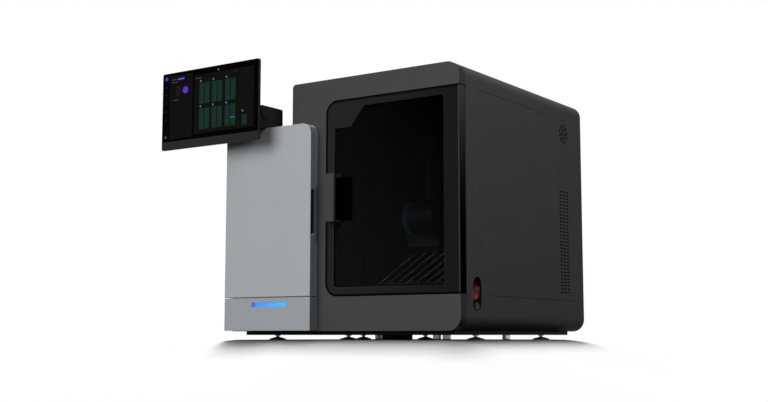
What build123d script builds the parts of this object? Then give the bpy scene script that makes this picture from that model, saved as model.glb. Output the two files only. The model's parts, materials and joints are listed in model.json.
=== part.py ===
from build123d import *
import os
from math import cos, radians, sin

os.makedirs("parts", exist_ok=True)

# Digital slide scanner, in millimetres. X runs to the right seen from the front, Y to the back, Z up.
# The origin is on the table, under the middle of the outline of the whole unit.

# cabinet
CAB_W = 471.0
CAB_D = 639.0
CAB_H = 599.5
LIFT = 20.5  # underside of the cabinet above the table
RIGHT_R = 32.0  # long edges on the right, top and bottom
LEFT_R = 9.0  # long edges on the left
SHEET = 3.0
BEZEL_D = 28.0
SEAM = 1.5  # open line between neighbouring outer panels
FIT = 0.3  # clearance round a piece that is dropped into its seat
RUN = 0.06  # radial clearance of a pin in its bore

# monitor, seen from the front
MON_W = 322.0
MON_H = 198.6
MON_LEFT_OF_CAB = 197.0  # monitor centre to the left side of the cabinet
MON_REACH = 85.0  # face of the monitor in front of the cabinet
MON_LOW = 477.4
MON_EDGE_T = 6.0
MON_R = 5.0
CHIN_H = 21.0
BULGE_T = 19.0
BULGE_IN = 12.0
BULGE_SLOPE = 7.0
BULGE_TOP_DROP = 52.0
GLASS_T = 1.6

RIGHT = (CAB_W + MON_LEFT_OF_CAB + MON_W / 2) / 2
LEFT = RIGHT - CAB_W
FRONT = -(CAB_D - MON_REACH) / 2
BACK = FRONT + CAB_D
TOP = LIFT + CAB_H
FLOOR = LIFT + SHEET  # inner floor of the cabinet

# glazed door, hinged on the right
DOOR_W = 366.0
DOOR_LOW = 102.7
DOOR_TOP = 564.2
DOOR_D = 26.8
DOOR_R = 30.0
DOOR_L = RIGHT - DOOR_W
DOOR_GAP = 2.4
LIP = 4.0
RABBET = 6.0
PANE_T = 4.0
WIN_L = DOOR_L + 22.0
WIN_R = RIGHT - 41.5
WIN_LOW = DOOR_LOW + 18.8
WIN_TOP = DOOR_TOP - 18.2
STEP_Z = WIN_TOP - 47.0
STEP_X1 = WIN_L + 48.0
STEP_X2 = STEP_X1 + 37.0
WIN_FILLET = 7.0
HINGE_X = RIGHT - 6.0
HINGE_Y = FRONT + 20.5
HINGE_PIN_R = 2.5
HINGE_PIN_IN = 11.0
DOOR_REAR_R = 4.0
DOOR_FRONT_R = 1.5
JAMB_Y = FRONT + BEZEL_D + 1.5
JAMB_T = 3.0
SEAL_W = 5.5
SEAL_IN = 6.5
SEAL_HINGE_IN = 16.0

# door pull
PULL_X = DOOR_L + 9.0
PULL_W = 27.0
PULL_LOW = 275.0
PULL_H = 114.0
PULL_OUT = 20.0
PULL_T = 8.0
PULL_ARM = 9.0
PULL_FOOT = 4.0
DISH_X = WIN_L + 0.8
DISH_W = 49.0
DISH_LOW = 277.5
DISH_H = 104.0
DISH_D = 12.0
DISH_WALL = 1.8

# loader tower with its light front
SLAB_W = 266.0
SLAB_OVERLAP = 79.4  # how far the light front covers the cabinet
SLAB_T = 29.0
SLAB_R = 27.0
SLAB_WALL = 3.0
SLAB_LOW = 21.7
SLAB_PART = 100.4
SLAB_TOP = 514.9
SLAB_X1 = LEFT + SLAB_OVERLAP
SLAB_X0 = SLAB_X1 - SLAB_W
SLAB_BACK_GAP = 1.0
TOWER_W = 185.0
TOWER_D = 610.0
TOWER_TOP = 505.0
TOWER_WALL = 2.5
TOWER_X0 = LEFT - TOWER_W
LED_X0 = SLAB_X0 + 88.0
LED_W = 108.0
LED_Z = 84.0
LED_H = 10.5
LED_D = 9.0
SCOOP_LOW = 246.0
SCOOP_H = 111.0
SCOOP_D = 14.0
SCOOP_T = 14.0
SCOOP_FRONT = 2.2

# drawer carriage, racks and rails
RAIL_H = 36.0
RAIL_T = 1.5
RAIL_LEN = 450.0
RAIL_DEEP = 4.7
RUNNER_LEN = 440.0
SIDE_T = 2.0
SHELF_T = 2.0
SHELF_Z = (112.0, 298.0)
RACK_ROWS = 3
RACK_PITCH = 104.0
RACK_FIRST = 26.0
RACK_D = 66.0
RACK_W = 84.0
RACK_H = 165.0
RACK_WALL = 3.0
RACK_TEETH = 10
RAIL_Z = (150.0, 336.0)
SLIDE_L = 75.0
SLIDE_W = 25.0
SLIDE_T = 1.0

# monitor mount
MOUNT_X0 = SLAB_X0 + 17.7
MOUNT_W = 110.0
MOUNT_FRONT = FRONT - 50.0
MOUNT_D = 84.0
MOUNT_TOP = 570.0
MOUNT_R = 9.0
TILT_Y = FRONT - 35.0
TILT_Z = 552.0
TILT_PIN_R = 4.0
TILT_HEAD_R = 14.5
TILT_HEAD_T = 3.0
TONGUE_W = 34.0
TONGUE_R = 12.0
TONGUE_SLOT = 1.5

# plinth and feet
PLINTH_H = 9.0
PLINTH_T = 2.5
PLINTH_INSET = 30.0
PLINTH_FRONT = 25.0
PLINTH_D = 575.0
PAD_R = 21.5
PAD_RIM = 1.8
PAD_H = 6.5
STEM_R = 4.0
NUT_R = 7.5
NUT_H = 3.0
FOOT_IN = 50.0
FOOT_Y = (FRONT + 152.0, FRONT + 486.0)
STUD_R = 9.5
STUD_UP = 1.0
SKID_W = 60.0
SKID_D = 42.0
SKID_X = RIGHT - 308.0
SKID_Y = FRONT + 150.0

# right-hand side
PANEL_T = 1.5
PANEL_GAP = 0.8
PANEL_LAND = 12.0
PANEL_Y0 = FRONT + 88.0
PANEL_Y1 = FRONT + 437.0
PANEL_Y2 = FRONT + 588.0
PANEL_Z0 = 100.0
PANEL_Z1 = 382.0
PANEL_Z2 = 466.0
PANEL_Z3 = 566.0
SCREW_HEAD_R = 2.9
SCREW_R = 1.5
SCREW_L = 8.0
SLOT_ROWS = 31
SLOT_PITCH = 8.6
SLOT_COLS = 3
SLOT_L = 15.0
SLOT_H = 3.6
SLOT_STEP = 18.8
SLOT_Y = FRONT + 529.0
SLOT_LOW = 119.0
VENT_Y = FRONT + 534.0
VENT_Z = 528.0
VENT_R = 34.0
VENT_RIM = 3.0
FAN_SIZE = 74.0
FAN_T = 22.0
FAN_R = 33.0
HUB_R = 13.0
SWITCH_Y = FRONT + 73.5
SWITCH_Z = 102.0
SWITCH_W = 45.0
SWITCH_H = 82.0
SWITCH_D = 14.0
SWITCH_WALL = 1.6
SWITCH_RIM = 2.5
ROCKER_R = 15.2
ROCKER_TILT = 9.0
KEY_R = 9.0
KEY_Z = SWITCH_Z - 28.0
KEY_OUT = 9.2

# transfer window between tower and cabinet
PASS_Y0 = FRONT + 150.0
PASS_Y1 = FRONT + 330.0
PASS_Z0 = 90.0
PASS_Z1 = 480.0


def front_plane(y):
    return Plane(origin=(0, y, 0), x_dir=(1, 0, 0), z_dir=(0, -1, 0))


def side_plane(x):
    return Plane(origin=(x, 0, 0), x_dir=(0, 1, 0), z_dir=(1, 0, 0))


def level(z):
    return Plane.XY.offset(z)


def rect(x0, x1, y0, y1, mode=Mode.ADD):
    with Locations(((x0 + x1) / 2, (y0 + y1) / 2)):
        Rectangle(x1 - x0, y1 - y0, mode=mode)


def save(piece, name):
    piece.part.label = name
    export_step(piece.part, f"parts/{name}.step")


def body_outline(inset=0.0):
    with BuildSketch(mode=Mode.PRIVATE) as outline:
        rect(LEFT + inset, RIGHT - inset, LIFT + inset, TOP - inset)
        columns = outline.vertices().group_by(Axis.X)
        fillet(columns[-1], radius=RIGHT_R - inset)
        columns = outline.vertices().group_by(Axis.X)
        fillet(columns[0], radius=LEFT_R - inset)
    return outline.sketch


def leaf_outline(grow=0.0, reach=0.0):
    with BuildSketch(mode=Mode.PRIVATE) as outline:
        rect(DOOR_L - grow, RIGHT + reach, DOOR_LOW - grow, DOOR_TOP + grow)
        fillet(outline.vertices().group_by(Axis.X)[0], radius=DOOR_R + grow)
    return outline.sketch


def window_outline(grow=0.0):
    corners = [
        (WIN_L, WIN_LOW),
        (WIN_R, WIN_LOW),
        (WIN_R, WIN_TOP),
        (STEP_X2, WIN_TOP),
        (STEP_X1, STEP_Z),
        (WIN_L, STEP_Z),
    ]
    with BuildSketch(mode=Mode.PRIVATE) as outline:
        with BuildLine():
            Polyline(*corners, close=True)
        make_face()
        fillet(outline.vertices(), radius=WIN_FILLET)
        if grow:
            offset(amount=grow)
    return outline.sketch


def slab_outline(low, top, inset=0.0):
    with BuildSketch(mode=Mode.PRIVATE) as outline:
        rect(SLAB_X0 + inset, SLAB_X1 - inset, low + inset, top - inset)
        if top == SLAB_TOP:
            fillet(outline.vertices().group_by(Axis.Y)[-1], radius=SLAB_R - inset)
    return outline.sketch


def panel_outline(grow=0.0):
    corners = [
        (PANEL_Y0, PANEL_Z3),
        (PANEL_Y1, PANEL_Z3),
        (PANEL_Y1, PANEL_Z2),
        (PANEL_Y2, PANEL_Z1),
        (PANEL_Y2, PANEL_Z0),
        (PANEL_Y0 + 42, PANEL_Z0),
        (PANEL_Y0, PANEL_Z0 + 70),
    ]
    with BuildSketch(mode=Mode.PRIVATE) as outline:
        with BuildLine():
            Polyline(*corners, close=True)
        make_face()
        if grow:
            offset(amount=grow, kind=Kind.INTERSECTION)
    return outline.sketch


# screws of the side panel: (y, z), a little inside its edge
PANEL_SCREWS = [
    (PANEL_Y0 + 51, PANEL_Z3 - 6),
    (PANEL_Y0 + 308, PANEL_Z3 - 6),
    (PANEL_Y0 + 7, PANEL_Z3 - 67),
    (PANEL_Y1 - 6, PANEL_Z3 - 60),
    (PANEL_Y1 + 66, PANEL_Z2 - 46),
    (PANEL_Y2 - 9, PANEL_Z1 - 27),
    (PANEL_Y0 + 7, PANEL_Z0 + 113),
    (PANEL_Y0 + 59, PANEL_Z0 + 7),
    (PANEL_Y0 + 250, PANEL_Z0 + 7),
    (PANEL_Y2 - 9, PANEL_Z0 + 57),
]

# ---------------------------------------------------------------- cabinet

# wrap of sheet metal round the whole cabinet behind the front frame
with BuildPart() as cabinet_shell:
    with BuildSketch(front_plane(FRONT + BEZEL_D)):
        add(body_outline())
        add(body_outline(SHEET), mode=Mode.SUBTRACT)
    extrude(amount=-(CAB_D - BEZEL_D - SHEET))
    with BuildSketch(side_plane(RIGHT)):
        add(panel_outline(PANEL_GAP))
        with Locations((VENT_Y, VENT_Z)):
            Circle(VENT_R + VENT_RIM + FIT)
    extrude(amount=-PANEL_T, mode=Mode.SUBTRACT)
    with BuildSketch(side_plane(RIGHT)):
        add(panel_outline(-PANEL_LAND))
        with Locations((VENT_Y, VENT_Z)):
            Circle(VENT_R)
        with Locations((SWITCH_Y, SWITCH_Z)):
            SlotOverall(SWITCH_H, SWITCH_W, rotation=90)
        with Locations(*PANEL_SCREWS):
            Circle(SCREW_R + RUN)
    extrude(amount=-2 * SHEET, mode=Mode.SUBTRACT)
    with BuildSketch(side_plane(LEFT - SHEET)):
        rect(PASS_Y0, PASS_Y1, PASS_Z0, PASS_Z1)
    extrude(amount=3 * SHEET, mode=Mode.SUBTRACT)
save(cabinet_shell, "cabinet_shell")


# moulded front frame, open on the right where the door wraps round the corner
def bezel_outline():
    with BuildSketch(mode=Mode.PRIVATE) as outline:
        add(body_outline())
        add(leaf_outline(DOOR_GAP, RIGHT_R), mode=Mode.SUBTRACT)
    return outline.sketch


BOSS_H = 12.0
BOSS_W = 16.0
with BuildPart() as front_bezel:
    with BuildSketch(front_plane(FRONT)):
        add(bezel_outline())
    extrude(amount=-BEZEL_D)
    with BuildSketch(front_plane(FRONT + SHEET)):
        add(bezel_outline())
        offset(amount=-SHEET)
    extrude(amount=-BEZEL_D, mode=Mode.SUBTRACT)
    for low in (DOOR_LOW - DOOR_GAP - BOSS_H, DOOR_TOP + DOOR_GAP):
        with BuildSketch(level(low)):
            rect(RIGHT - BOSS_W, RIGHT - SHEET / 2, FRONT + SHEET / 2, FRONT + BEZEL_D)
        extrude(amount=BOSS_H)
        with Locations((HINGE_X, HINGE_Y, low + BOSS_H / 2)):
            Cylinder(HINGE_PIN_R + RUN, 2 * BOSS_H, mode=Mode.SUBTRACT)
save(front_bezel, "front_bezel")

# plate behind the door that its seal closes on
with BuildPart() as door_jamb:
    with BuildSketch(front_plane(JAMB_Y)):
        add(body_outline(SHEET + FIT))
        rect(DOOR_L + 15, RIGHT - 24, DOOR_LOW + 12, DOOR_TOP - 12, mode=Mode.SUBTRACT)
    extrude(amount=-JAMB_T)
save(door_jamb, "door_jamb")

# rear cover with the mains inlet and a field of exhaust slots
INLET_X = LEFT + 90.0
INLET_Z = 90.0
with BuildPart() as rear_cover:
    with BuildSketch(front_plane(BACK - SHEET)):
        add(body_outline())
        with Locations((INLET_X, INLET_Z)):
            Rectangle(48, 28, mode=Mode.SUBTRACT)
        with Locations(((LEFT + RIGHT) / 2, LIFT + CAB_H / 2)):
            with GridLocations(34, 12, 5, 9):
                Rectangle(26, 4, mode=Mode.SUBTRACT)
    extrude(amount=-SHEET)
save(rear_cover, "rear_cover")

with BuildPart() as mains_inlet:
    with BuildSketch(front_plane(BACK - 26)):
        with Locations((INLET_X, INLET_Z)):
            Rectangle(47, 27)
    extrude(amount=-26)
    with BuildSketch(front_plane(BACK - 16)):
        with Locations((INLET_X, INLET_Z)):
            Rectangle(25, 17)
    extrude(amount=-16, mode=Mode.SUBTRACT)
    with BuildSketch(front_plane(BACK - 17)):
        with Locations((INLET_X, INLET_Z)):
            with GridLocations(7, 0, 3, 1):
                Rectangle(2, 5)
    extrude(amount=-13)
save(mains_inlet, "mains_inlet")

with BuildPart() as side_panel:
    with BuildSketch(side_plane(RIGHT)):
        add(panel_outline())
        with Locations((SLOT_Y, SLOT_LOW + (SLOT_ROWS - 1) * SLOT_PITCH / 2)):
            with GridLocations(SLOT_STEP, SLOT_PITCH, SLOT_COLS, SLOT_ROWS):
                Rectangle(SLOT_L, SLOT_H, mode=Mode.SUBTRACT)
        with Locations(*PANEL_SCREWS):
            Circle(SCREW_R + RUN, mode=Mode.SUBTRACT)
    extrude(amount=-PANEL_T)
    with BuildSketch(side_plane(RIGHT)):
        with Locations(*PANEL_SCREWS):
            Circle(SCREW_HEAD_R + FIT)
    extrude(amount=-PANEL_T * 0.6, mode=Mode.SUBTRACT)
save(side_panel, "side_panel")

with BuildPart() as panel_screws:
    with BuildSketch(side_plane(RIGHT)):
        with Locations(*PANEL_SCREWS):
            Circle(SCREW_HEAD_R)
    extrude(amount=-PANEL_T * 0.6)
    with BuildSketch(side_plane(RIGHT - PANEL_T * 0.6)):
        with Locations(*PANEL_SCREWS):
            Circle(SCREW_R)
    extrude(amount=-SCREW_L)
    with BuildSketch(side_plane(RIGHT)):
        with Locations(*PANEL_SCREWS):
            RegularPolygon(1.3, 6)
    extrude(amount=-0.7, mode=Mode.SUBTRACT)
save(panel_screws, "panel_screws")

with BuildPart() as fan_grille:
    with BuildSketch(side_plane(RIGHT)):
        with Locations((VENT_Y, VENT_Z)):
            Circle(VENT_R + VENT_RIM)
            RegularPolygon(5.6, 6, mode=Mode.SUBTRACT)
            with PolarLocations(12.0, 6):
                RegularPolygon(5.6, 6, mode=Mode.SUBTRACT)
            with PolarLocations(22.5, 12, start_angle=15):
                RegularPolygon(5.2, 6, mode=Mode.SUBTRACT)
    extrude(amount=-PANEL_T)
save(fan_grille, "fan_grille")

FAN_X = RIGHT - SHEET
with BuildPart() as fan_frame:
    with BuildSketch(side_plane(FAN_X)):
        with Locations((VENT_Y, VENT_Z)):
            RectangleRounded(FAN_SIZE, FAN_SIZE, 5)
            Circle(FAN_R, mode=Mode.SUBTRACT)
    extrude(amount=-FAN_T)
    with BuildSketch(side_plane(FAN_X - FAN_T + 3)):
        with Locations((VENT_Y, VENT_Z)):
            Circle(HUB_R - 1)
            with PolarLocations((FAN_R + HUB_R) / 2 - 1, 4, start_angle=45):
                Rectangle(FAN_R - HUB_R + 6, 4)
    extrude(amount=-3)
    with BuildSketch(side_plane(FAN_X - FAN_T + 3)):
        with Locations((VENT_Y, VENT_Z)):
            Circle(1.5 + RUN)
    extrude(amount=-4, mode=Mode.SUBTRACT)
save(fan_frame, "fan_frame")

BLADES = 7
with BuildPart() as fan_rotor:
    with BuildSketch(side_plane(FAN_X - 3)):
        with Locations((VENT_Y, VENT_Z)):
            Circle(HUB_R)
    extrude(amount=-(FAN_T - 6 - FIT))
    with BuildSketch(side_plane(FAN_X - FAN_T + 3 + FIT)):
        with Locations((VENT_Y, VENT_Z)):
            Circle(1.5)
    extrude(amount=-3)
    for blade in range(BLADES):
        turn = 360.0 / BLADES * blade
        root = Plane(
            origin=(FAN_X - FAN_T / 2, VENT_Y, VENT_Z),
            x_dir=(sin(radians(38)), -cos(radians(38)) * sin(radians(turn)), cos(radians(38)) * cos(radians(turn))),
            z_dir=(0, cos(radians(turn)), sin(radians(turn))),
        )
        with BuildSketch(root.offset(HUB_R - 1)):
            Rectangle(14, 1.6)
        extrude(amount=FAN_R - HUB_R - 1)
save(fan_rotor, "fan_rotor")

with BuildPart() as switch_cup:
    with BuildSketch(side_plane(RIGHT)):
        with Locations((SWITCH_Y, SWITCH_Z)):
            SlotOverall(SWITCH_H - 2 * FIT, SWITCH_W - 2 * FIT, rotation=90)
    extrude(amount=-SWITCH_D)
    with BuildSketch(side_plane(RIGHT - SHEET)):
        with Locations((SWITCH_Y, SWITCH_Z)):
            SlotOverall(SWITCH_H + 2 * SWITCH_RIM, SWITCH_W + 2 * SWITCH_RIM, rotation=90)
    extrude(amount=-SWITCH_WALL)
    with BuildSketch(side_plane(RIGHT)):
        with Locations((SWITCH_Y, SWITCH_Z)):
            inner = 2 * (SWITCH_WALL + FIT)
            SlotOverall(SWITCH_H - inner, SWITCH_W - inner, rotation=90)
    extrude(amount=-(SWITCH_D - SWITCH_WALL), mode=Mode.SUBTRACT)
    with BuildSketch(side_plane(RIGHT - SWITCH_D + SWITCH_WALL)):
        with Locations((SWITCH_Y, SWITCH_Z + 4)):
            Circle(ROCKER_R + 2.4)
            Circle(ROCKER_R + 1.0, mode=Mode.SUBTRACT)
    extrude(amount=4)
    with BuildSketch(side_plane(RIGHT - SWITCH_D)):
        with Locations((SWITCH_Y, KEY_Z)):
            Circle(KEY_R - 2 + RUN)
    extrude(amount=SWITCH_D, mode=Mode.SUBTRACT)
save(switch_cup, "switch_cup")

# illuminated rocker: a round cap with a shallow valley, tipped to one side on its pivot bar
ROCKER_Z = SWITCH_Z + 4
ROCKER_BAR_R = 2.4
ROCKER_X = RIGHT - SWITCH_D + SWITCH_WALL + FIT + ROCKER_BAR_R
ROCKER_OUT = (cos(radians(ROCKER_TILT)), 0, -sin(radians(ROCKER_TILT)))
ROCKER_BASE = 2.6
ROCKER_T = 5.5
ROCKER_VALLEY = 2.4
face_on = Plane(origin=(ROCKER_X, SWITCH_Y, ROCKER_Z), x_dir=(0, 1, 0), z_dir=ROCKER_OUT)
edge_on = Plane(origin=(ROCKER_X, SWITCH_Y, ROCKER_Z), x_dir=ROCKER_OUT, z_dir=(0, -1, 0))
with BuildPart() as power_rocker:
    with BuildSketch(face_on.offset(ROCKER_BASE)):
        Circle(ROCKER_R)
    extrude(amount=ROCKER_T)
    with BuildSketch(edge_on.offset(-ROCKER_R - 1)):
        rim = ROCKER_BASE + ROCKER_T + 0.1
        with BuildLine():
            Polyline((rim - ROCKER_VALLEY, 0), (rim, ROCKER_R + 1), (rim, -ROCKER_R - 1), close=True)
        make_face()
    extrude(amount=2 * ROCKER_R + 2, mode=Mode.SUBTRACT)
    with BuildSketch(edge_on.offset(-10)):
        Circle(ROCKER_BAR_R)
        rect(0, ROCKER_BASE + 1, -ROCKER_BAR_R + 0.6, ROCKER_BAR_R - 0.6)
    extrude(amount=20)
save(power_rocker, "power_rocker")

with BuildPart() as standby_button:
    with BuildSketch(side_plane(RIGHT - SWITCH_D + SWITCH_WALL + 3.0)):
        with Locations((SWITCH_Y, KEY_Z)):
            Circle(KEY_R)
    extrude(amount=KEY_OUT)
    with BuildSketch(side_plane(RIGHT - SWITCH_D - 3)):
        with Locations((SWITCH_Y, KEY_Z)):
            Circle(KEY_R - 2)
    extrude(amount=SWITCH_WALL + 3 + 3 + 1)
    fillet(standby_button.edges().filter_by(GeomType.CIRCLE).sort_by(Axis.X)[-1], radius=1.0)
save(standby_button, "standby_button")

# ---------------------------------------------------------------- plinth and feet

PLINTH_X0 = TOWER_X0 + 25.0
PLINTH_X1 = RIGHT - PLINTH_INSET
PLINTH_Y0 = FRONT + PLINTH_FRONT
PLINTH_Y1 = PLINTH_Y0 + PLINTH_D
TOWER_FOOT_X = TOWER_X0 + 56.0
FEET = [
    (RIGHT - FOOT_IN, FOOT_Y[0]),
    (RIGHT - FOOT_IN, FOOT_Y[1]),
    (LEFT + FOOT_IN + 11, FOOT_Y[0]),
    (LEFT + FOOT_IN + 11, FOOT_Y[1] + 24),
    (TOWER_FOOT_X, FRONT + 109.0),
    (TOWER_FOOT_X, FOOT_Y[1]),
]
STUDS = [
    (RIGHT - FOOT_IN, FRONT + 300.0),
    (LEFT + FOOT_IN, FRONT + 300.0),
    (RIGHT - 153.5, FRONT + 152.0),
    (RIGHT - 127.5, FRONT + 152.0),
]
BOSS_LOW = LIFT - 7.5

with BuildPart() as plinth:
    with BuildSketch(level(LIFT - PLINTH_H)):
        rect(PLINTH_X0, PLINTH_X1, PLINTH_Y0, PLINTH_Y1)
        rect(PLINTH_X0 + SHEET, PLINTH_X1 - SHEET, PLINTH_Y0 + SHEET, PLINTH_Y1 - SHEET, mode=Mode.SUBTRACT)
    extrude(amount=PLINTH_H)
    with BuildSketch(level(LIFT - PLINTH_T)):
        rect(PLINTH_X0, PLINTH_X1, PLINTH_Y0, PLINTH_Y1)
    extrude(amount=PLINTH_T)
    with BuildSketch(level(BOSS_LOW)):
        with Locations(*FEET):
            Circle(NUT_R + 2.5)
    extrude(amount=LIFT - BOSS_LOW)
    with BuildSketch(level(BOSS_LOW)):
        with Locations(*FEET):
            Circle(STEM_R + RUN)
    extrude(amount=LIFT - BOSS_LOW, mode=Mode.SUBTRACT)
    with BuildSketch(level(STUD_UP)):
        rect(SKID_X, SKID_X + SKID_W, SKID_Y, SKID_Y + SKID_D)
    extrude(amount=LIFT - PLINTH_T - STUD_UP)
save(plinth, "plinth")

for number, (foot_x, foot_y) in enumerate(FEET, start=1):
    with BuildPart() as foot:
        with BuildSketch(Plane(origin=(foot_x, foot_y, 0), x_dir=(1, 0, 0), z_dir=(0, -1, 0))):
            with BuildLine():
                Polyline((0, 0), (PAD_R - 1, 0), (PAD_R, 0.6), (PAD_R, PAD_RIM))
                ThreePointArc((PAD_R, PAD_RIM), (PAD_R * 0.62, PAD_H * 0.72), (STEM_R + 2, PAD_H))
                Polyline(
                    (STEM_R + 2, PAD_H),
                    (STEM_R, PAD_H + 1),
                    (STEM_R, BOSS_LOW - FIT - NUT_H),
                    (NUT_R, BOSS_LOW - FIT - NUT_H),
                    (NUT_R, BOSS_LOW - FIT),
                    (STEM_R, BOSS_LOW - FIT),
                    (STEM_R, LIFT - FIT),
                    (0, LIFT - FIT),
                    (0, 0),
                )
            make_face()
        revolve(axis=Axis((foot_x, foot_y, 0), (0, 0, 1)))
    save(foot, f"levelling_foot_{number}")

with BuildPart() as support_studs:
    with BuildSketch(level(STUD_UP)):
        with Locations(*STUDS):
            Circle(STUD_R)
    extrude(amount=LIFT - PLINTH_T - STUD_UP)
    chamfer(support_studs.edges().filter_by(GeomType.CIRCLE).group_by(Axis.Z)[0], length=1.2)
save(support_studs, "support_studs")

# ---------------------------------------------------------------- glazed door

with BuildPart() as door_frame:
    with BuildSketch(front_plane(FRONT)):
        add(leaf_outline())
        add(window_outline(), mode=Mode.SUBTRACT)
    extrude(amount=-DOOR_D)
    with BuildSketch(front_plane(FRONT + LIP)):
        add(window_outline(RABBET))
    extrude(amount=-DOOR_D, mode=Mode.SUBTRACT)
    corner = door_frame.edges().filter_by(Axis.Z).filter_by_position(Axis.X, RIGHT - 0.1, RIGHT + 0.1)
    fillet(corner.sort_by(Axis.Y)[0], radius=DOOR_FRONT_R)
    corner = door_frame.edges().filter_by(Axis.Z).filter_by_position(Axis.X, RIGHT - 0.1, RIGHT + 0.1)
    fillet(corner.sort_by(Axis.Y)[-1], radius=DOOR_REAR_R)
    for end in (DOOR_LOW, DOOR_TOP):
        with Locations((HINGE_X, HINGE_Y, end)):
            Cylinder(HINGE_PIN_R + RUN, 2 * (HINGE_PIN_IN + 1), mode=Mode.SUBTRACT)
save(door_frame, "door_frame")

with BuildPart() as door_glass:
    with BuildSketch(front_plane(FRONT + LIP)):
        add(window_outline(RABBET - FIT))
        rect(DISH_X, DISH_X + DISH_W, DISH_LOW, DISH_LOW + DISH_H, mode=Mode.SUBTRACT)
    extrude(amount=-PANE_T)
save(door_glass, "door_glass")

with BuildPart() as door_seal:
    with BuildSketch(front_plane(FRONT + DOOR_D)):
        add(leaf_outline(-SEAL_IN, -SEAL_HINGE_IN))
        add(leaf_outline(-SEAL_IN - SEAL_W, -SEAL_HINGE_IN - SEAL_W), mode=Mode.SUBTRACT)
    extrude(amount=-(JAMB_Y - FIT - FRONT - DOOR_D))
save(door_seal, "door_seal")

with BuildPart() as hinge_pins:
    for end, side in ((DOOR_LOW, -1), (DOOR_TOP, 1)):
        with Locations((HINGE_X, HINGE_Y, end)):
            Cylinder(HINGE_PIN_R, 2 * HINGE_PIN_IN)
        with Locations((HINGE_X, HINGE_Y, end + side * (DOOR_GAP + FIT) / 2)):
            Cylinder(HINGE_PIN_R + 2, DOOR_GAP - FIT)
save(hinge_pins, "hinge_pins")

with BuildPart() as door_pull:
    with BuildSketch(level(PULL_LOW)):
        rect(PULL_X, PULL_X + PULL_W, FRONT - PULL_OUT, FRONT - PULL_OUT + PULL_T)
    extrude(amount=PULL_H)
    for low, arm in ((PULL_LOW, PULL_FOOT), (PULL_LOW + PULL_H - PULL_ARM, PULL_ARM)):
        with BuildSketch(level(low)):
            with BuildLine():
                Polyline(
                    (PULL_X, FRONT - PULL_OUT),
                    (PULL_X + PULL_W, FRONT - PULL_OUT),
                    (PULL_X + PULL_W, FRONT - PULL_OUT + PULL_T),
                    (WIN_L + 20, FRONT),
                    (PULL_X, FRONT),
                    close=True,
                )
            make_face()
        extrude(amount=arm)
    front_edges = door_pull.faces().sort_by(Axis.Y)[0].edges()
    fillet(front_edges, radius=1.5)
save(door_pull, "door_pull")

with BuildPart() as pull_dish:
    with BuildSketch(front_plane(FRONT + LIP - 1.2)):
        rect(DISH_X + FIT, DISH_X + DISH_W - FIT, DISH_LOW + FIT, DISH_LOW + DISH_H - FIT)
    extrude(amount=-DISH_D - 1.2)
    with BuildSketch(front_plane(FRONT + LIP - 1.2)):
        rect(
            DISH_X + FIT + DISH_WALL,
            DISH_X + DISH_W - FIT - DISH_WALL,
            DISH_LOW + FIT + DISH_WALL,
            DISH_LOW + DISH_H - FIT - DISH_WALL,
        )
    extrude(amount=-(DISH_D + 1.2 - DISH_WALL), mode=Mode.SUBTRACT)
save(pull_dish, "pull_dish")

# ---------------------------------------------------------------- loader tower

TOWER_IN = TOWER_X0 + TOWER_WALL
DRAWER_LOW = SLAB_PART + SEAM
SLAB_FRONT = FRONT - SLAB_T

with BuildPart() as tower_housing:
    with BuildSketch(front_plane(FRONT)):
        rect(TOWER_X0, LEFT, LIFT, TOWER_TOP)
        rect(TOWER_IN, LEFT - TOWER_WALL, LIFT + TOWER_WALL, TOWER_TOP - TOWER_WALL, mode=Mode.SUBTRACT)
    extrude(amount=-TOWER_D)
    with BuildSketch(front_plane(FRONT + TOWER_D - TOWER_WALL)):
        rect(TOWER_X0, LEFT, LIFT, TOWER_TOP)
    extrude(amount=-TOWER_WALL)
    with BuildSketch(side_plane(LEFT - 2 * TOWER_WALL)):
        rect(PASS_Y0, PASS_Y1, PASS_Z0, PASS_Z1)
    extrude(amount=3 * TOWER_WALL, mode=Mode.SUBTRACT)
save(tower_housing, "tower_housing")

# fixed lower part of the light front, with the window of the status light
with BuildPart() as lower_panel:
    with BuildSketch(front_plane(SLAB_FRONT)):
        add(slab_outline(SLAB_LOW, SLAB_PART))
    extrude(amount=-SLAB_T)
    with BuildSketch(front_plane(SLAB_FRONT + SLAB_WALL)):
        add(slab_outline(SLAB_LOW, SLAB_PART, SLAB_WALL))
    extrude(amount=-SLAB_T, mode=Mode.SUBTRACT)
    fillet(lower_panel.faces().sort_by(Axis.Y)[0].edges().filter_by(Axis.Z), radius=2.0)
    with BuildSketch(front_plane(SLAB_FRONT)):
        rect(LED_X0, LED_X0 + LED_W, LED_Z - LED_H / 2, LED_Z + LED_H / 2)
    extrude(amount=-2 * SLAB_WALL, mode=Mode.SUBTRACT)
save(lower_panel, "lower_panel")

LED_LIP = 3.0
with BuildPart() as status_light:
    with BuildSketch(front_plane(SLAB_FRONT)):
        rect(LED_X0 + FIT, LED_X0 + LED_W - FIT, LED_Z - LED_H / 2 + FIT, LED_Z + LED_H / 2 - FIT)
    extrude(amount=-LED_D)
    with BuildSketch(front_plane(SLAB_FRONT + SLAB_WALL)):
        rect(LED_X0 - LED_LIP, LED_X0 + LED_W + LED_LIP, LED_Z - LED_H / 2 - LED_LIP, LED_Z + LED_H / 2 + LED_LIP)
    extrude(amount=-(LED_D - SLAB_WALL))
save(status_light, "status_light")

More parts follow.
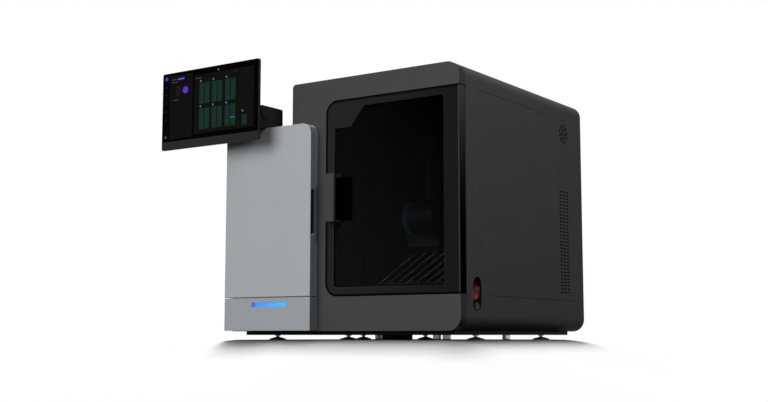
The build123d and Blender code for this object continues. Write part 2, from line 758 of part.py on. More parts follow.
with BuildPart() as drawer_front:
    with BuildSketch(front_plane(SLAB_FRONT)):
        add(slab_outline(DRAWER_LOW, SLAB_TOP))
    extrude(amount=-(SLAB_T - SLAB_BACK_GAP))
    fillet(drawer_front.faces().sort_by(Axis.Y)[0].edges(), radius=1.5)
    with BuildSketch(front_plane(SLAB_FRONT + SLAB_WALL)):
        add(slab_outline(DRAWER_LOW, SLAB_TOP, SLAB_WALL))
    extrude(amount=-SLAB_T, mode=Mode.SUBTRACT)
    scoop_y = SLAB_FRONT + SCOOP_FRONT
    with BuildSketch(side_plane(SLAB_X1 - SLAB_WALL / 2)):
        rect(SLAB_FRONT + SLAB_WALL / 2, scoop_y + SCOOP_T + SLAB_WALL, SCOOP_LOW - SLAB_WALL, SCOOP_LOW + SCOOP_H + SLAB_WALL)
    extrude(amount=-SCOOP_D)
    with BuildSketch(side_plane(SLAB_X1)):
        with Locations((scoop_y + SCOOP_T / 2, SCOOP_LOW + SCOOP_H / 2)):
            RectangleRounded(SCOOP_T, SCOOP_H, SCOOP_T / 2 - 1)
    extrude(amount=-(SCOOP_D - SLAB_WALL), mode=Mode.SUBTRACT)
save(drawer_front, "drawer_front")

# drawer carriage: back plate of the front, one side sheet, two shelves and an end wall
SIDE_X = TOWER_IN + RAIL_DEEP + 0.5
SHELF_X = SIDE_X + SIDE_T
RACK_X = SHELF_X + 0.8
SHELF_END_X = RACK_X + RACK_W + 2
SHELF_END_Y = FRONT + RACK_FIRST + RACK_ROWS * RACK_PITCH
CARRIAGE_FRONT = FRONT - SLAB_BACK_GAP - SIDE_T
CARRIAGE_TOP = SHELF_Z[1] + RACK_H + 8
with BuildPart() as drawer_carriage:
    with BuildSketch(front_plane(CARRIAGE_FRONT)):
        add(slab_outline(DRAWER_LOW, SLAB_TOP, SLAB_WALL + FIT))
    extrude(amount=-SIDE_T)
    with BuildSketch(side_plane(SHELF_X)):
        rect(CARRIAGE_FRONT, CARRIAGE_FRONT + RUNNER_LEN, SHELF_Z[0], CARRIAGE_TOP)
    extrude(amount=-SIDE_T)
    for shelf in SHELF_Z:
        with BuildSketch(level(shelf)):
            rect(SIDE_X, SHELF_END_X, CARRIAGE_FRONT, SHELF_END_Y)
        extrude(amount=SHELF_T)
    with BuildSketch(front_plane(SHELF_END_Y - SIDE_T)):
        rect(SIDE_X, SHELF_END_X, SHELF_Z[0], CARRIAGE_TOP)
    extrude(amount=-SIDE_T)
save(drawer_carriage, "drawer_carriage")

# telescopic rails: channels on the tower wall, solid runners on the carriage
with BuildPart() as fixed_rails:
    with BuildSketch(front_plane(FRONT + 2)):
        for rail_z in RAIL_Z:
            rect(TOWER_IN, TOWER_IN + RAIL_DEEP, rail_z - RAIL_H / 2, rail_z + RAIL_H / 2)
            inner = RAIL_H / 2 - RAIL_T
            rect(TOWER_IN + RAIL_T, TOWER_IN + RAIL_DEEP, rail_z - inner, rail_z + inner, mode=Mode.SUBTRACT)
    extrude(amount=-RAIL_LEN)
save(fixed_rails, "fixed_rails")

with BuildPart() as drawer_runners:
    with BuildSketch(front_plane(FRONT + 2)):
        for rail_z in RAIL_Z:
            inner = RAIL_H / 2 - RAIL_T - FIT
            rect(TOWER_IN + RAIL_T + FIT, SIDE_X, rail_z - inner, rail_z + inner)
    extrude(amount=-(RUNNER_LEN - 6))
save(drawer_runners, "drawer_runners")

# slide racks: two columns side by side, open towards the transfer arm, with ledges for the slides
RACK_FLOOR = 4.0
TOOTH = 2.4
TOOTH_T = 1.2
TOOTH_PITCH = (RACK_H - RACK_FLOOR - 12) / RACK_TEETH
number = 0
for shelf in SHELF_Z:
    for row in range(RACK_ROWS):
        number += 1
        rack_y = FRONT + RACK_FIRST + row * RACK_PITCH
        rack_z = shelf + SHELF_T
        column = (RACK_D - 3 * RACK_WALL) / 2
        with BuildPart() as rack:
            with BuildSketch(level(rack_z)):
                rect(RACK_X, RACK_X + RACK_W, rack_y, rack_y + RACK_D)
            extrude(amount=RACK_H)
            with BuildSketch(level(rack_z + RACK_FLOOR)):
                for low in (rack_y + RACK_WALL, rack_y + 2 * RACK_WALL + column):
                    rect(RACK_X + RACK_WALL, RACK_X + RACK_W, low, low + column)
            extrude(amount=RACK_H, mode=Mode.SUBTRACT)
            with BuildSketch(side_plane(RACK_X + RACK_WALL)):
                for step in range(RACK_TEETH):
                    tooth_z = rack_z + RACK_FLOOR + (step + 0.5) * TOOTH_PITCH
                    for low in (rack_y + RACK_WALL, rack_y + 2 * RACK_WALL + column):
                        rect(low, low + TOOTH, tooth_z, tooth_z + TOOTH_T)
                        rect(low + column - TOOTH, low + column, tooth_z, tooth_z + TOOTH_T)
            extrude(amount=RACK_W - RACK_WALL - 2)
        save(rack, f"slide_rack_{number}")

# ---------------------------------------------------------------- monitor on its mount

MOUNT_X1 = MOUNT_X0 + MOUNT_W
TONGUE_X = MOUNT_X0 + MOUNT_W / 2
MON_X = LEFT - MON_LEFT_OF_CAB
MON_FACE = FRONT - MON_REACH
MON_TOP = MON_LOW + MON_H
MON_BACK = MON_FACE + MON_EDGE_T + BULGE_T

with BuildPart() as monitor_mount:
    with BuildSketch(side_plane(MOUNT_X1)):
        rect(MOUNT_FRONT, MOUNT_FRONT + MOUNT_D, SLAB_TOP, MOUNT_TOP)
    extrude(amount=-MOUNT_W)
    fillet(monitor_mount.edges().filter_by(Axis.X).group_by(Axis.Z)[-1], radius=MOUNT_R / 2)
    half = TONGUE_W / 2 + TONGUE_SLOT
    with BuildSketch(level(TILT_Z - 2 * TONGUE_R)):
        rect(TONGUE_X - half, TONGUE_X + half, MOUNT_FRONT - 1, TILT_Y + TONGUE_R + 3)
    extrude(amount=MOUNT_TOP, mode=Mode.SUBTRACT)
    with BuildSketch(side_plane(MOUNT_X1)):
        with Locations((TILT_Y, TILT_Z)):
            Circle(TILT_PIN_R + RUN)
    extrude(amount=-MOUNT_W, mode=Mode.SUBTRACT)
save(monitor_mount, "monitor_mount")

with BuildPart() as tilt_pin:
    with BuildSketch(side_plane(MOUNT_X1 + TILT_HEAD_T)):
        with Locations((TILT_Y, TILT_Z)):
            Circle(TILT_PIN_R)
    extrude(amount=-(MOUNT_W + 2 * TILT_HEAD_T))
    for head_x in (MOUNT_X1 + TILT_HEAD_T, MOUNT_X0):
        with BuildSketch(side_plane(head_x)):
            with Locations((TILT_Y, TILT_Z)):
                Circle(TILT_HEAD_R)
        extrude(amount=-TILT_HEAD_T)
save(tilt_pin, "tilt_pin")

with BuildPart() as monitor_bracket:
    with BuildSketch(side_plane(TONGUE_X + TONGUE_W / 2)):
        with BuildLine():
            Polyline(
                (MON_BACK, TILT_Z - TONGUE_R - 8),
                (MON_BACK, TILT_Z + TONGUE_R - 2),
                (MON_BACK + 3, TILT_Z + TONGUE_R - 2),
                (TILT_Y, TILT_Z + TONGUE_R),
            )
            ThreePointArc((TILT_Y, TILT_Z + TONGUE_R), (TILT_Y + TONGUE_R, TILT_Z), (TILT_Y, TILT_Z - TONGUE_R))
            Polyline(
                (TILT_Y, TILT_Z - TONGUE_R),
                (MON_BACK + 3, TILT_Z - TONGUE_R - 8),
                (MON_BACK, TILT_Z - TONGUE_R - 8),
            )
        make_face()
        with Locations((TILT_Y, TILT_Z)):
            Circle(TILT_PIN_R + RUN, mode=Mode.SUBTRACT)
    extrude(amount=-TONGUE_W)
    with BuildSketch(front_plane(MON_BACK)):
        with Locations((TONGUE_X, TILT_Z - 8)):
            RectangleRounded(84, 30, 4)
    extrude(amount=-3)
save(monitor_bracket, "monitor_bracket")

with BuildPart() as monitor_housing:
    with BuildSketch(front_plane(MON_FACE)):
        with Locations((MON_X, MON_LOW + MON_H / 2)):
            RectangleRounded(MON_W, MON_H, MON_R)
    extrude(amount=-MON_EDGE_T)
    for back, spread in ((MON_FACE + MON_EDGE_T, 0.0), (MON_BACK, BULGE_SLOPE)):
        with BuildSketch(front_plane(back)):
            half = MON_W / 2 - BULGE_IN - spread
            rect(MON_X - half, MON_X + half, MON_LOW + 8 + spread, MON_TOP - BULGE_TOP_DROP - 3 * spread)
    loft()
    with BuildSketch(front_plane(MON_FACE)):
        rect(MON_X - MON_W / 2 + 1.5, MON_X + MON_W / 2 - 1.5, MON_LOW + CHIN_H, MON_TOP - 1.5)
    extrude(amount=-GLASS_T - FIT, mode=Mode.SUBTRACT)
save(monitor_housing, "monitor_housing")

with BuildPart() as display_glass:
    with BuildSketch(front_plane(MON_FACE)):
        edge = 1.5 + FIT
        rect(MON_X - MON_W / 2 + edge, MON_X + MON_W / 2 - edge, MON_LOW + CHIN_H + FIT, MON_TOP - edge)
    extrude(amount=-GLASS_T)
save(display_glass, "display_glass")

# ---------------------------------------------------------------- scanning unit

BASE_X0 = LEFT + 55.0
BASE_X1 = RIGHT - 24.0
BASE_Y0 = FRONT + 42.0
BASE_Y1 = FRONT + 560.0
BASE_LOW = 50.0
BASE_T = 18.0
BASE_TOP = BASE_LOW + BASE_T
LEG_R = 18.0
AXIS_X = RIGHT - 225.0  # optical axis
AXIS_Y = FRONT + 245.0
with BuildPart() as optics_base:
    with BuildSketch(level(BASE_LOW)):
        with Locations(((BASE_X0 + BASE_X1) / 2, (BASE_Y0 + BASE_Y1) / 2)):
            RectangleRounded(BASE_X1 - BASE_X0, BASE_Y1 - BASE_Y0, 12)
    extrude(amount=BASE_T)
    with BuildSketch(level(FLOOR + FIT)):
        with Locations(((BASE_X0 + BASE_X1) / 2, (BASE_Y0 + BASE_Y1) / 2)):
            with GridLocations(BASE_X1 - BASE_X0 - 70, BASE_Y1 - BASE_Y0 - 70, 2, 2):
                Circle(LEG_R)
    extrude(amount=BASE_LOW - FLOOR - FIT)
save(optics_base, "optics_base")

# casting that carries the optics: a post with a forward arm
COLUMN_W = 120.0
COLUMN_Y0 = FRONT + 400.0
COLUMN_Y1 = FRONT + 520.0
COLUMN_TOP = 500.0
with BuildPart() as optics_column:
    with BuildSketch(side_plane(AXIS_X + COLUMN_W / 2)):
        with BuildLine():
            Polyline(
                (COLUMN_Y0, BASE_TOP),
                (COLUMN_Y1, BASE_TOP),
                (COLUMN_Y1 - 20, COLUMN_TOP),
                (COLUMN_Y0, COLUMN_TOP),
                close=True,
            )
        make_face()
    extrude(amount=-COLUMN_W)
    with BuildSketch(side_plane(AXIS_X + COLUMN_W / 2)):
        rect(COLUMN_Y0 + 18, COLUMN_Y1 - 30, BASE_TOP + 30, COLUMN_TOP - 60)
    extrude(amount=-(COLUMN_W / 2 - 6), mode=Mode.SUBTRACT)
    with BuildSketch(side_plane(AXIS_X - COLUMN_W / 2)):
        rect(COLUMN_Y0 + 18, COLUMN_Y1 - 30, BASE_TOP + 30, COLUMN_TOP - 60)
    extrude(amount=COLUMN_W / 2 - 6, mode=Mode.SUBTRACT)
save(optics_column, "optics_column")

Y_RAIL_H = 12.0
Y_RAIL_W = 16.0
Y_RAIL_STEP = 180.0
Y_RAIL_L = 280.0
with BuildPart() as stage_rails:
    with BuildSketch(level(BASE_TOP)):
        with Locations((AXIS_X, AXIS_Y)):
            with GridLocations(Y_RAIL_STEP, 0, 2, 1):
                Rectangle(Y_RAIL_W, Y_RAIL_L)
    extrude(amount=Y_RAIL_H)
save(stage_rails, "stage_rails")

SADDLE_Z = BASE_TOP + FIT
SADDLE_W = 230.0
SADDLE_L = 150.0
SADDLE_TOP = BASE_TOP + Y_RAIL_H + 14.0
with BuildPart() as stage_saddle:
    with BuildSketch(level(SADDLE_Z)):
        with Locations((AXIS_X, AXIS_Y)):
            Rectangle(SADDLE_W, SADDLE_L)
    extrude(amount=SADDLE_TOP - SADDLE_Z)
    with BuildSketch(level(SADDLE_Z)):
        with Locations((AXIS_X, AXIS_Y)):
            with GridLocations(Y_RAIL_STEP, 0, 2, 1):
                Rectangle(Y_RAIL_W + 2 * FIT, SADDLE_L)
            Rectangle(Y_RAIL_STEP - 60, SADDLE_L)
    extrude(amount=Y_RAIL_H + FIT, mode=Mode.SUBTRACT)
    with BuildSketch(level(SADDLE_TOP)):
        with Locations((AXIS_X, AXIS_Y)):
            with GridLocations(0, SADDLE_L - 30, 1, 2):
                Rectangle(SADDLE_W, 12)
    extrude(amount=8)
save(stage_saddle, "stage_saddle")

STAGE_W = 150.0
STAGE_Z = SADDLE_TOP + FIT
STAGE_T = 16.0
STAGE_TOP = STAGE_Z + STAGE_T
with BuildPart() as stage_plate:
    with BuildSketch(level(STAGE_Z)):
        with Locations((AXIS_X, AXIS_Y)):
            Rectangle(STAGE_W, SADDLE_L - 4)
    extrude(amount=STAGE_T)
    with BuildSketch(level(STAGE_Z)):
        with Locations((AXIS_X, AXIS_Y)):
            with GridLocations(0, SADDLE_L - 30, 1, 2):
                Rectangle(STAGE_W, 12 + 2 * FIT)
    extrude(amount=8 + FIT, mode=Mode.SUBTRACT)
    with BuildSketch(level(STAGE_TOP - 3)):
        with Locations((AXIS_X, AXIS_Y)):
            Rectangle(SLIDE_L + 1, SLIDE_W + 1)
    extrude(amount=3, mode=Mode.SUBTRACT)
    with BuildSketch(level(STAGE_TOP - 3)):
        with Locations((AXIS_X, AXIS_Y)):
            Rectangle(SLIDE_L, SLIDE_W)
    extrude(amount=SLIDE_T)
save(stage_plate, "stage_plate")

# focusing head on the front of the column, with the nosepiece under its arm
HEAD_W = 90.0
NOSE_T = 16.0
OBJECTIVE_L = 62.0
WORK_GAP = 1.5
HEAD_LOW = STAGE_TOP + WORK_GAP + OBJECTIVE_L + NOSE_T + FIT
HEAD_TOP = HEAD_LOW + 130.0
HEAD_FRONT = AXIS_Y - 40.0
HEAD_FLAT = AXIS_Y + 40.0
NOSE_Y = AXIS_Y + 30.0
NOSE_R = 46.0
NOSE_STEP = 30.0
with BuildPart() as focus_head:
    with BuildSketch(side_plane(AXIS_X + HEAD_W / 2)):
        with BuildLine():
            Polyline(
                (HEAD_FRONT, HEAD_LOW + 35),
                (HEAD_FRONT, HEAD_TOP),
                (HEAD_FLAT, HEAD_TOP),
                (COLUMN_Y0 - FIT, HEAD_TOP + 60),
                (COLUMN_Y0 - FIT, HEAD_LOW - 40),
                (NOSE_Y + 70, HEAD_LOW),
                (AXIS_Y - 20, HEAD_LOW),
                close=True,
            )
        make_face()
    extrude(amount=-HEAD_W)
    with Locations((AXIS_X, NOSE_Y, HEAD_LOW - 6)):
        Cylinder(8, 12 + 2)
save(focus_head, "focus_head")

with BuildPart() as nosepiece:
    with BuildSketch(level(HEAD_LOW - FIT - NOSE_T)):
        with Locations((AXIS_X, NOSE_Y)):
            Circle(NOSE_R)
    extrude(amount=NOSE_T)
    with Locations((AXIS_X, NOSE_Y, HEAD_LOW - 6)):
        Cylinder(8 + RUN, 12 + 4, mode=Mode.SUBTRACT)
save(nosepiece, "nosepiece")

OBJECTIVES = 5
with BuildPart() as objectives:
    for index in range(OBJECTIVES):
        turn = radians(-90 + 360 / OBJECTIVES * index)
        spot = (AXIS_X + NOSE_STEP * cos(turn), NOSE_Y + NOSE_STEP * sin(turn))
        top = HEAD_LOW - FIT - NOSE_T
        length = OBJECTIVE_L - 5 * index
        with BuildSketch(Plane(origin=(spot[0], spot[1], 0), x_dir=(1, 0, 0), z_dir=(0, -1, 0))):
            with BuildLine():
                Polyline(
                    (0, top),
                    (12, top),
                    (12, top - length * 0.62),
                    (9, top - length * 0.74),
                    (4.5, top - length),
                    (0, top - length),
                    close=True,
                )
            make_face()
        revolve(axis=Axis((spot[0], spot[1], 0), (0, 0, 1)))
save(objectives, "objectives")

TUBE_R = 24.0
TUBE_H = 124.0
CAMERA_W = 78.0
CAMERA_H = 62.0
with BuildPart() as camera_unit:
    with BuildSketch(level(HEAD_TOP)):
        with Locations((AXIS_X, AXIS_Y)):
            Circle(TUBE_R)
    extrude(amount=TUBE_H)
    with BuildSketch(level(HEAD_TOP + TUBE_H)):
        with Locations((AXIS_X, AXIS_Y)):
            RectangleRounded(CAMERA_W, CAMERA_W, 5)
    extrude(amount=CAMERA_H)
    for step in range(5):
        with BuildSketch(level(HEAD_TOP + TUBE_H + 14 + step * 9)):
            with Locations((AXIS_X, AXIS_Y)):
                RectangleRounded(CAMERA_W + 2, CAMERA_W + 2, 6)
                RectangleRounded(CAMERA_W - 6, CAMERA_W - 6, 3, mode=Mode.SUBTRACT)
        extrude(amount=4, mode=Mode.SUBTRACT)
save(camera_unit, "camera_unit")

# lamp house lying across the front of the head, with a lens at its left end and fins at its right
LAMP_R = 40.0
LAMP_X0 = RIGHT - 228.0
LAMP_L = 150.0
LAMP_Y = HEAD_FRONT - LAMP_R - 4.0
LAMP_Z = 290.0
LENS_R = 33.0
LENS_T = 6.0
FINS = 7
FIN_PITCH = 10.0
FIN_T = 4.0
with BuildPart() as lamp_house:
    with BuildSketch(side_plane(LAMP_X0)):
        with Locations((LAMP_Y, LAMP_Z)):
            Circle(LAMP_R)
    extrude(amount=LAMP_L - FINS * FIN_PITCH)
    with BuildSketch(side_plane(LAMP_X0 + LAMP_L - FINS * FIN_PITCH)):
        with Locations((LAMP_Y, LAMP_Z)):
            Circle(LAMP_R * 0.6)
    extrude(amount=FINS * FIN_PITCH)
    for fin in range(FINS):
        with BuildSketch(side_plane(LAMP_X0 + LAMP_L - fin * FIN_PITCH - FIN_T)):
            with Locations((LAMP_Y, LAMP_Z)):
                Circle(LAMP_R - 1)
        extrude(amount=FIN_T)
    with BuildSketch(side_plane(LAMP_X0 + 2 * LENS_T)):
        rect(LAMP_Y, HEAD_FRONT, LAMP_Z - 22, LAMP_Z + 22)
    extrude(amount=30)
    with BuildSketch(side_plane(LAMP_X0)):
        with Locations((LAMP_Y, LAMP_Z)):
            Circle(LENS_R + FIT)
    extrude(amount=LENS_T, mode=Mode.SUBTRACT)
save(lamp_house, "lamp_house")

with BuildPart() as lamp_lens:
    with BuildSketch(Plane(origin=(LAMP_X0 + LENS_T, LAMP_Y, LAMP_Z), x_dir=(1, 0, 0), z_dir=(0, -1, 0))):
        with BuildLine():
            Polyline((-1, LENS_R), (0, LENS_R), (0, 0), (-LENS_T - 3, 0))
            ThreePointArc((-LENS_T - 3, 0), (-LENS_T - 0.5, LENS_R * 0.62), (-1, LENS_R))
        make_face()
    revolve(axis=Axis((0, LAMP_Y, LAMP_Z), (1, 0, 0)))
save(lamp_lens, "lamp_lens")

# tray with slanted slats in front of the stage, cut off square at its right end
TRAY_X0 = RIGHT - 252.0
TRAY_X1 = RIGHT - 24.0
TRAY_Y0 = FRONT + 46.0
TRAY_D = 58.0
TRAY_H = 62.0
TRAY_WALL = 3.0
SLATS = 8
SLAT_PITCH = 26.0
SLAT_RUN = 110.0
SLAT_RISE = 68.0
SLAT_T = 6.0
with BuildPart() as slat_tray:
    with BuildSketch(level(BASE_TOP)):
        rect(TRAY_X0, TRAY_X1, TRAY_Y0, TRAY_Y0 + TRAY_D)
        rect(
            TRAY_X0 + TRAY_WALL,
            TRAY_X1 - TRAY_WALL,
            TRAY_Y0 + TRAY_WALL,
            TRAY_Y0 + TRAY_D - TRAY_WALL,
            mode=Mode.SUBTRACT,
        )
    extrude(amount=TRAY_H)
    with BuildSketch(front_plane(TRAY_Y0)):
        slat_z = BASE_TOP + TRAY_H - 2
        rect(TRAY_X1 - TRAY_WALL, TRAY_X1, slat_z, slat_z + SLAT_RISE)
        for slat in range(SLATS):
            slat_x = TRAY_X0 + slat * SLAT_PITCH
            with BuildLine():
                Polyline(
                    (slat_x, slat_z),
                    (slat_x + SLAT_T, slat_z),
                    (slat_x + SLAT_RUN, slat_z + SLAT_RISE),
                    (slat_x + SLAT_RUN - SLAT_T, slat_z + SLAT_RISE),
                    close=True,
                )
            make_face()
        rect(TRAY_X1, TRAY_X1 + SLAT_RUN, slat_z - 1, slat_z + SLAT_RISE + 1, mode=Mode.SUBTRACT)
    extrude(amount=-TRAY_D)
save(slat_tray, "slat_tray")

# ---------------------------------------------------------------- slide transfer arm

POST_X = LEFT - 50.0
POST_Y = FRONT + 360.0
POST_W = 30.0
POST_TOP = TOWER_TOP - TOWER_WALL
LIFT_Z = 290.0
with BuildPart() as transfer_post:
    with BuildSketch(level(LIFT + TOWER_WALL)):
        with Locations((POST_X, POST_Y)):
            Rectangle(POST_W, 30)
    extrude(amount=POST_TOP - LIFT - TOWER_WALL)
    with BuildSketch(level(LIFT + TOWER_WALL)):
        with Locations((POST_X, POST_Y + 10)):
            Rectangle(80, 60)
    extrude(amount=6)
save(transfer_post, "transfer_post")

with BuildPart() as transfer_lift:
    with BuildSketch(level(LIFT_Z - 22)):
        with Locations((POST_X, POST_Y)):
            Rectangle(POST_W + 20, 50)
            Rectangle(POST_W + 2 * FIT, 30 + 2 * FIT, mode=Mode.SUBTRACT)
        rect(POST_X - 14, POST_X + 14, FRONT + 236, POST_Y - 20)
    extrude(amount=20)
save(transfer_lift, "transfer_lift")

FORK_W = 26.0
with BuildPart() as transfer_fork:
    with BuildSketch(level(LIFT_Z - 2 + FIT)):
        rect(LEFT - 82, LEFT - 8, FRONT + 250, FRONT + 250 + FORK_W)
        rect(LEFT - 84, LEFT - 40, FRONT + 258, FRONT + 268, mode=Mode.SUBTRACT)
    extrude(amount=2)
save(transfer_fork, "transfer_fork")
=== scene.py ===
import json
import math
import bpy
import numpy as np
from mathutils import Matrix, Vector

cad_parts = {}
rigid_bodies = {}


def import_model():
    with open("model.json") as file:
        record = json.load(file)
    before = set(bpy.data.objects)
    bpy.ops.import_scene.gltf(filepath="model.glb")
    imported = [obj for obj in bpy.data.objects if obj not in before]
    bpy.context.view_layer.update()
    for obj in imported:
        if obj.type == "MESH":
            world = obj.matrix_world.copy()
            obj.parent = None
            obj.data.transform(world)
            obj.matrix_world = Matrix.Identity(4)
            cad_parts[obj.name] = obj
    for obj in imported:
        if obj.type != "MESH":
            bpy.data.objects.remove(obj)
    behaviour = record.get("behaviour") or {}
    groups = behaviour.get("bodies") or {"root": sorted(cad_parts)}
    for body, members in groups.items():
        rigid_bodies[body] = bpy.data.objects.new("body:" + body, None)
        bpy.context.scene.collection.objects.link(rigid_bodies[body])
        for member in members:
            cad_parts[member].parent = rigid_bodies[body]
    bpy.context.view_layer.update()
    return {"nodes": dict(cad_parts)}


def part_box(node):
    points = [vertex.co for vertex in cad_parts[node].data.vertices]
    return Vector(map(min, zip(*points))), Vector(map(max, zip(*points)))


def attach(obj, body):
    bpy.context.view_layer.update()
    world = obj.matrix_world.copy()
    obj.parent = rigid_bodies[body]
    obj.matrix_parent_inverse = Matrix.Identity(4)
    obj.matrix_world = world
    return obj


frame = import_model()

nodes = frame["nodes"]
print("frame loaded:", len(nodes), "nodes")


# a node in a material tree, with its inputs set from keywords (spaces written as _)
def addNode(tree, kind, **inputs):
    node = tree.nodes.new(kind)
    for key, value in inputs.items():
        node.inputs[key.replace("_", " ")].default_value = value
    return node


# one sum, on plain numbers or on what other nodes give
def mathNode(tree, operation, *values, clamp=False):
    node = tree.nodes.new("ShaderNodeMath")
    node.operation = operation
    node.use_clamp = clamp
    for socket, value in zip(node.inputs, values):
        if isinstance(value, (int, float)):
            socket.default_value = value
        else:
            tree.links.new(value, socket)
    return node.outputs[0]


# a new material, its tree and its shader
def newMaterial(name):
    material = bpy.data.materials.new(name)
    material.use_nodes = True
    tree = material.node_tree
    return material, tree, tree.nodes["Principled BSDF"]


# the X, Y and Z of the shaded point, or of its normal, in the object's own frame
def placeOf(tree, kind="Object"):
    coords = addNode(tree, "ShaderNodeTexCoord")
    split = addNode(tree, "ShaderNodeSeparateXYZ")
    tree.links.new(coords.outputs[kind], split.inputs[0])
    return split.outputs


# a value moved from one range to another, in a straight line or eased, and held at the ends
def ranged(tree, value, start, end, low=0.0, high=1.0, eased=False):
    node = addNode(tree, "ShaderNodeMapRange", From_Min=start, From_Max=end, To_Min=low, To_Max=high)
    node.interpolation_type = "SMOOTHSTEP" if eased else "LINEAR"
    tree.links.new(value, node.inputs["Value"])
    return node.outputs[0]


# noise between 0 and 1 over a vector
def noiseOver(tree, vector, size, detail, rough=0.5):
    node = addNode(tree, "ShaderNodeTexNoise", Scale=size, Detail=detail, Roughness=rough)
    tree.links.new(vector, node.inputs["Vector"])
    return node.outputs["Fac"]


# roughness that wavers between two values with a noise
def setRoughness(tree, shader, noise, low, high):
    tree.links.new(ranged(tree, noise, 0.0, 1.0, low, high), shader.inputs["Roughness"])


# 1 inside a box given by its lowest and highest corner, 0 outside: the product of three nearness tests
def insideBox(tree, low, high):
    place = placeOf(tree)
    factor = 1.0
    for axis in range(3):
        middle, half = (low[axis] + high[axis]) / 2, (high[axis] - low[axis]) / 2
        factor = mathNode(tree, "MULTIPLY", mathNode(tree, "COMPARE", place[axis], middle, half), factor)
    return factor


# first * (1 - factor) + second * factor, where each colour is a tuple or what a node gives
def mixColour(tree, factor, first, second):
    mixed = tree.nodes.new("ShaderNodeMix")
    mixed.data_type = "RGBA"
    for socket, value in (("A", first), ("B", second)):
        if isinstance(value, tuple):
            mixed.inputs[socket].default_value = value + (1,)
        else:
            tree.links.new(value, mixed.inputs[socket])
    tree.links.new(factor, mixed.inputs["Factor"])
    return mixed.outputs["Result"]


coatLook = {"clouds": (9.0, 4.0, 0.6), "fineDetail": 2.0, "wearAndHighlight": 2.2, "swing": 0.12, "bumpDepth": 0.0004,
            "rightward": 0.75, "rise": (0.2, 0.59), "risePower": 2.4}


# paint or moulding. Slow noise mixes a duller and a lighter colour, each the colour times 1 -+ cloud. The rubbed
# and lit edge colour, the colour times edge, comes in by wearAndHighlight * (1 - rounded normal . true normal):
# wear on the edges and a painted highlight along them. Fine noise gives the grain
def coat(name, colour, rough=0.45, metal=0.0, grain=0.08, grainSize=900.0, cloud=0.10, edge=1.5,
         edgeWidth=0.0011, stretch=(1, 1, 1), gloss=0.3, sheenFade=None, sideColourAndShade=None, sideTopReflection=None, paintedLightPatches=()):
    material, tree, shader = newMaterial(name)
    links = tree.links
    coords = addNode(tree, "ShaderNodeTexCoord")
    mapping = addNode(tree, "ShaderNodeMapping", Scale=stretch)
    links.new(coords.outputs["Object"], mapping.inputs["Vector"])
    clouds = noiseOver(tree, mapping.outputs[0], *coatLook["clouds"])
    fine = noiseOver(tree, mapping.outputs[0], grainSize, coatLook["fineDetail"])
    soft = addNode(tree, "ShaderNodeBevel", Radius=edgeWidth)
    soft.samples = 4
    geometry = addNode(tree, "ShaderNodeNewGeometry")
    facing = tree.nodes.new("ShaderNodeVectorMath")
    facing.operation = "DOT_PRODUCT"
    links.new(soft.outputs[0], facing.inputs[0])
    links.new(geometry.outputs["True Normal"], facing.inputs[1])
    edgeShare = mathNode(tree, "SUBTRACT", 1.0, facing.outputs["Value"])
    wornAndLitEdge = mathNode(tree, "MULTIPLY", edgeShare, coatLook["wearAndHighlight"], clamp=True)
    duller, lighter, rubbedAndLit = (tuple(min(c * k, 1) for c in colour) for k in (1 - cloud, 1 + cloud, edge))
    painted = mixColour(tree, wornAndLitEdge, mixColour(tree, clouds, duller, lighter), rubbedAndLit)
    if sheenFade:  # a painted sheen: the colour falls from full at the start of an axis to a share of it at the end
        axis, start, end, share = sheenFade
        along = ranged(tree, placeOf(tree)[axis], start, end)
        painted = mixColour(tree, along, painted, tuple(c * share for c in colour))
    if sideColourAndShade:  # faces that look to the right get a darker colour and no gloss: partly their own colour, partly painted shade
        rightward = mathNode(tree, "GREATER_THAN", placeOf(tree, "Normal")["X"], coatLook["rightward"])
        if sideTopReflection:  # lighter towards the top, by a power of the height: a painted reflection
            height = ranged(tree, placeOf(tree)["Z"], *coatLook["rise"])
            height = mathNode(tree, "POWER", height, coatLook["risePower"])
            sideColourAndShade = mixColour(tree, height, sideColourAndShade, sideTopReflection)
        painted = mixColour(tree, rightward, painted, sideColourAndShade)
        dulled = mathNode(tree, "SUBTRACT", gloss, mathNode(tree, "MULTIPLY", rightward, gloss))
        links.new(dulled, shader.inputs["Specular IOR Level"])
    for low, high, paintedLightColour in paintedLightPatches:  # painted shade in recesses and gaps, and a painted highlight on an edge, each a colour inside a box
        painted = mixColour(tree, insideBox(tree, low, high), painted, paintedLightColour)
    links.new(painted, shader.inputs["Base Color"])
    setRoughness(tree, shader, clouds, rough * (1 - coatLook["swing"]), rough * (1 + coatLook["swing"]))
    bump = addNode(tree, "ShaderNodeBump", Strength=grain, Distance=coatLook["bumpDepth"])
    links.new(fine, bump.inputs["Height"])
    links.new(soft.outputs[0], bump.inputs["Normal"])
    links.new(bump.outputs[0], shader.inputs["Normal"])
    shader.inputs["Metallic"].default_value = metal
    shader.inputs["Specular IOR Level"].default_value = gloss
    return material


# brushed metal: a coat whose noise is drawn out along one axis
def brushed(name, colour, along=(1, 1, 1), rough=0.32, cloud=0.12):
    return coat(name, colour, rough=rough, metal=1.0, grain=0.12, grainSize=420.0, cloud=cloud, edge=1.3,
                stretch=along)


paneLook = {"dust": (14.0, 6.0, 0.65), "rough": (0.0, 0.004), "reflectionRight": (0.06, 0.37), "reflectionUp": (0.10, 0.56),
            "index": 1.015}


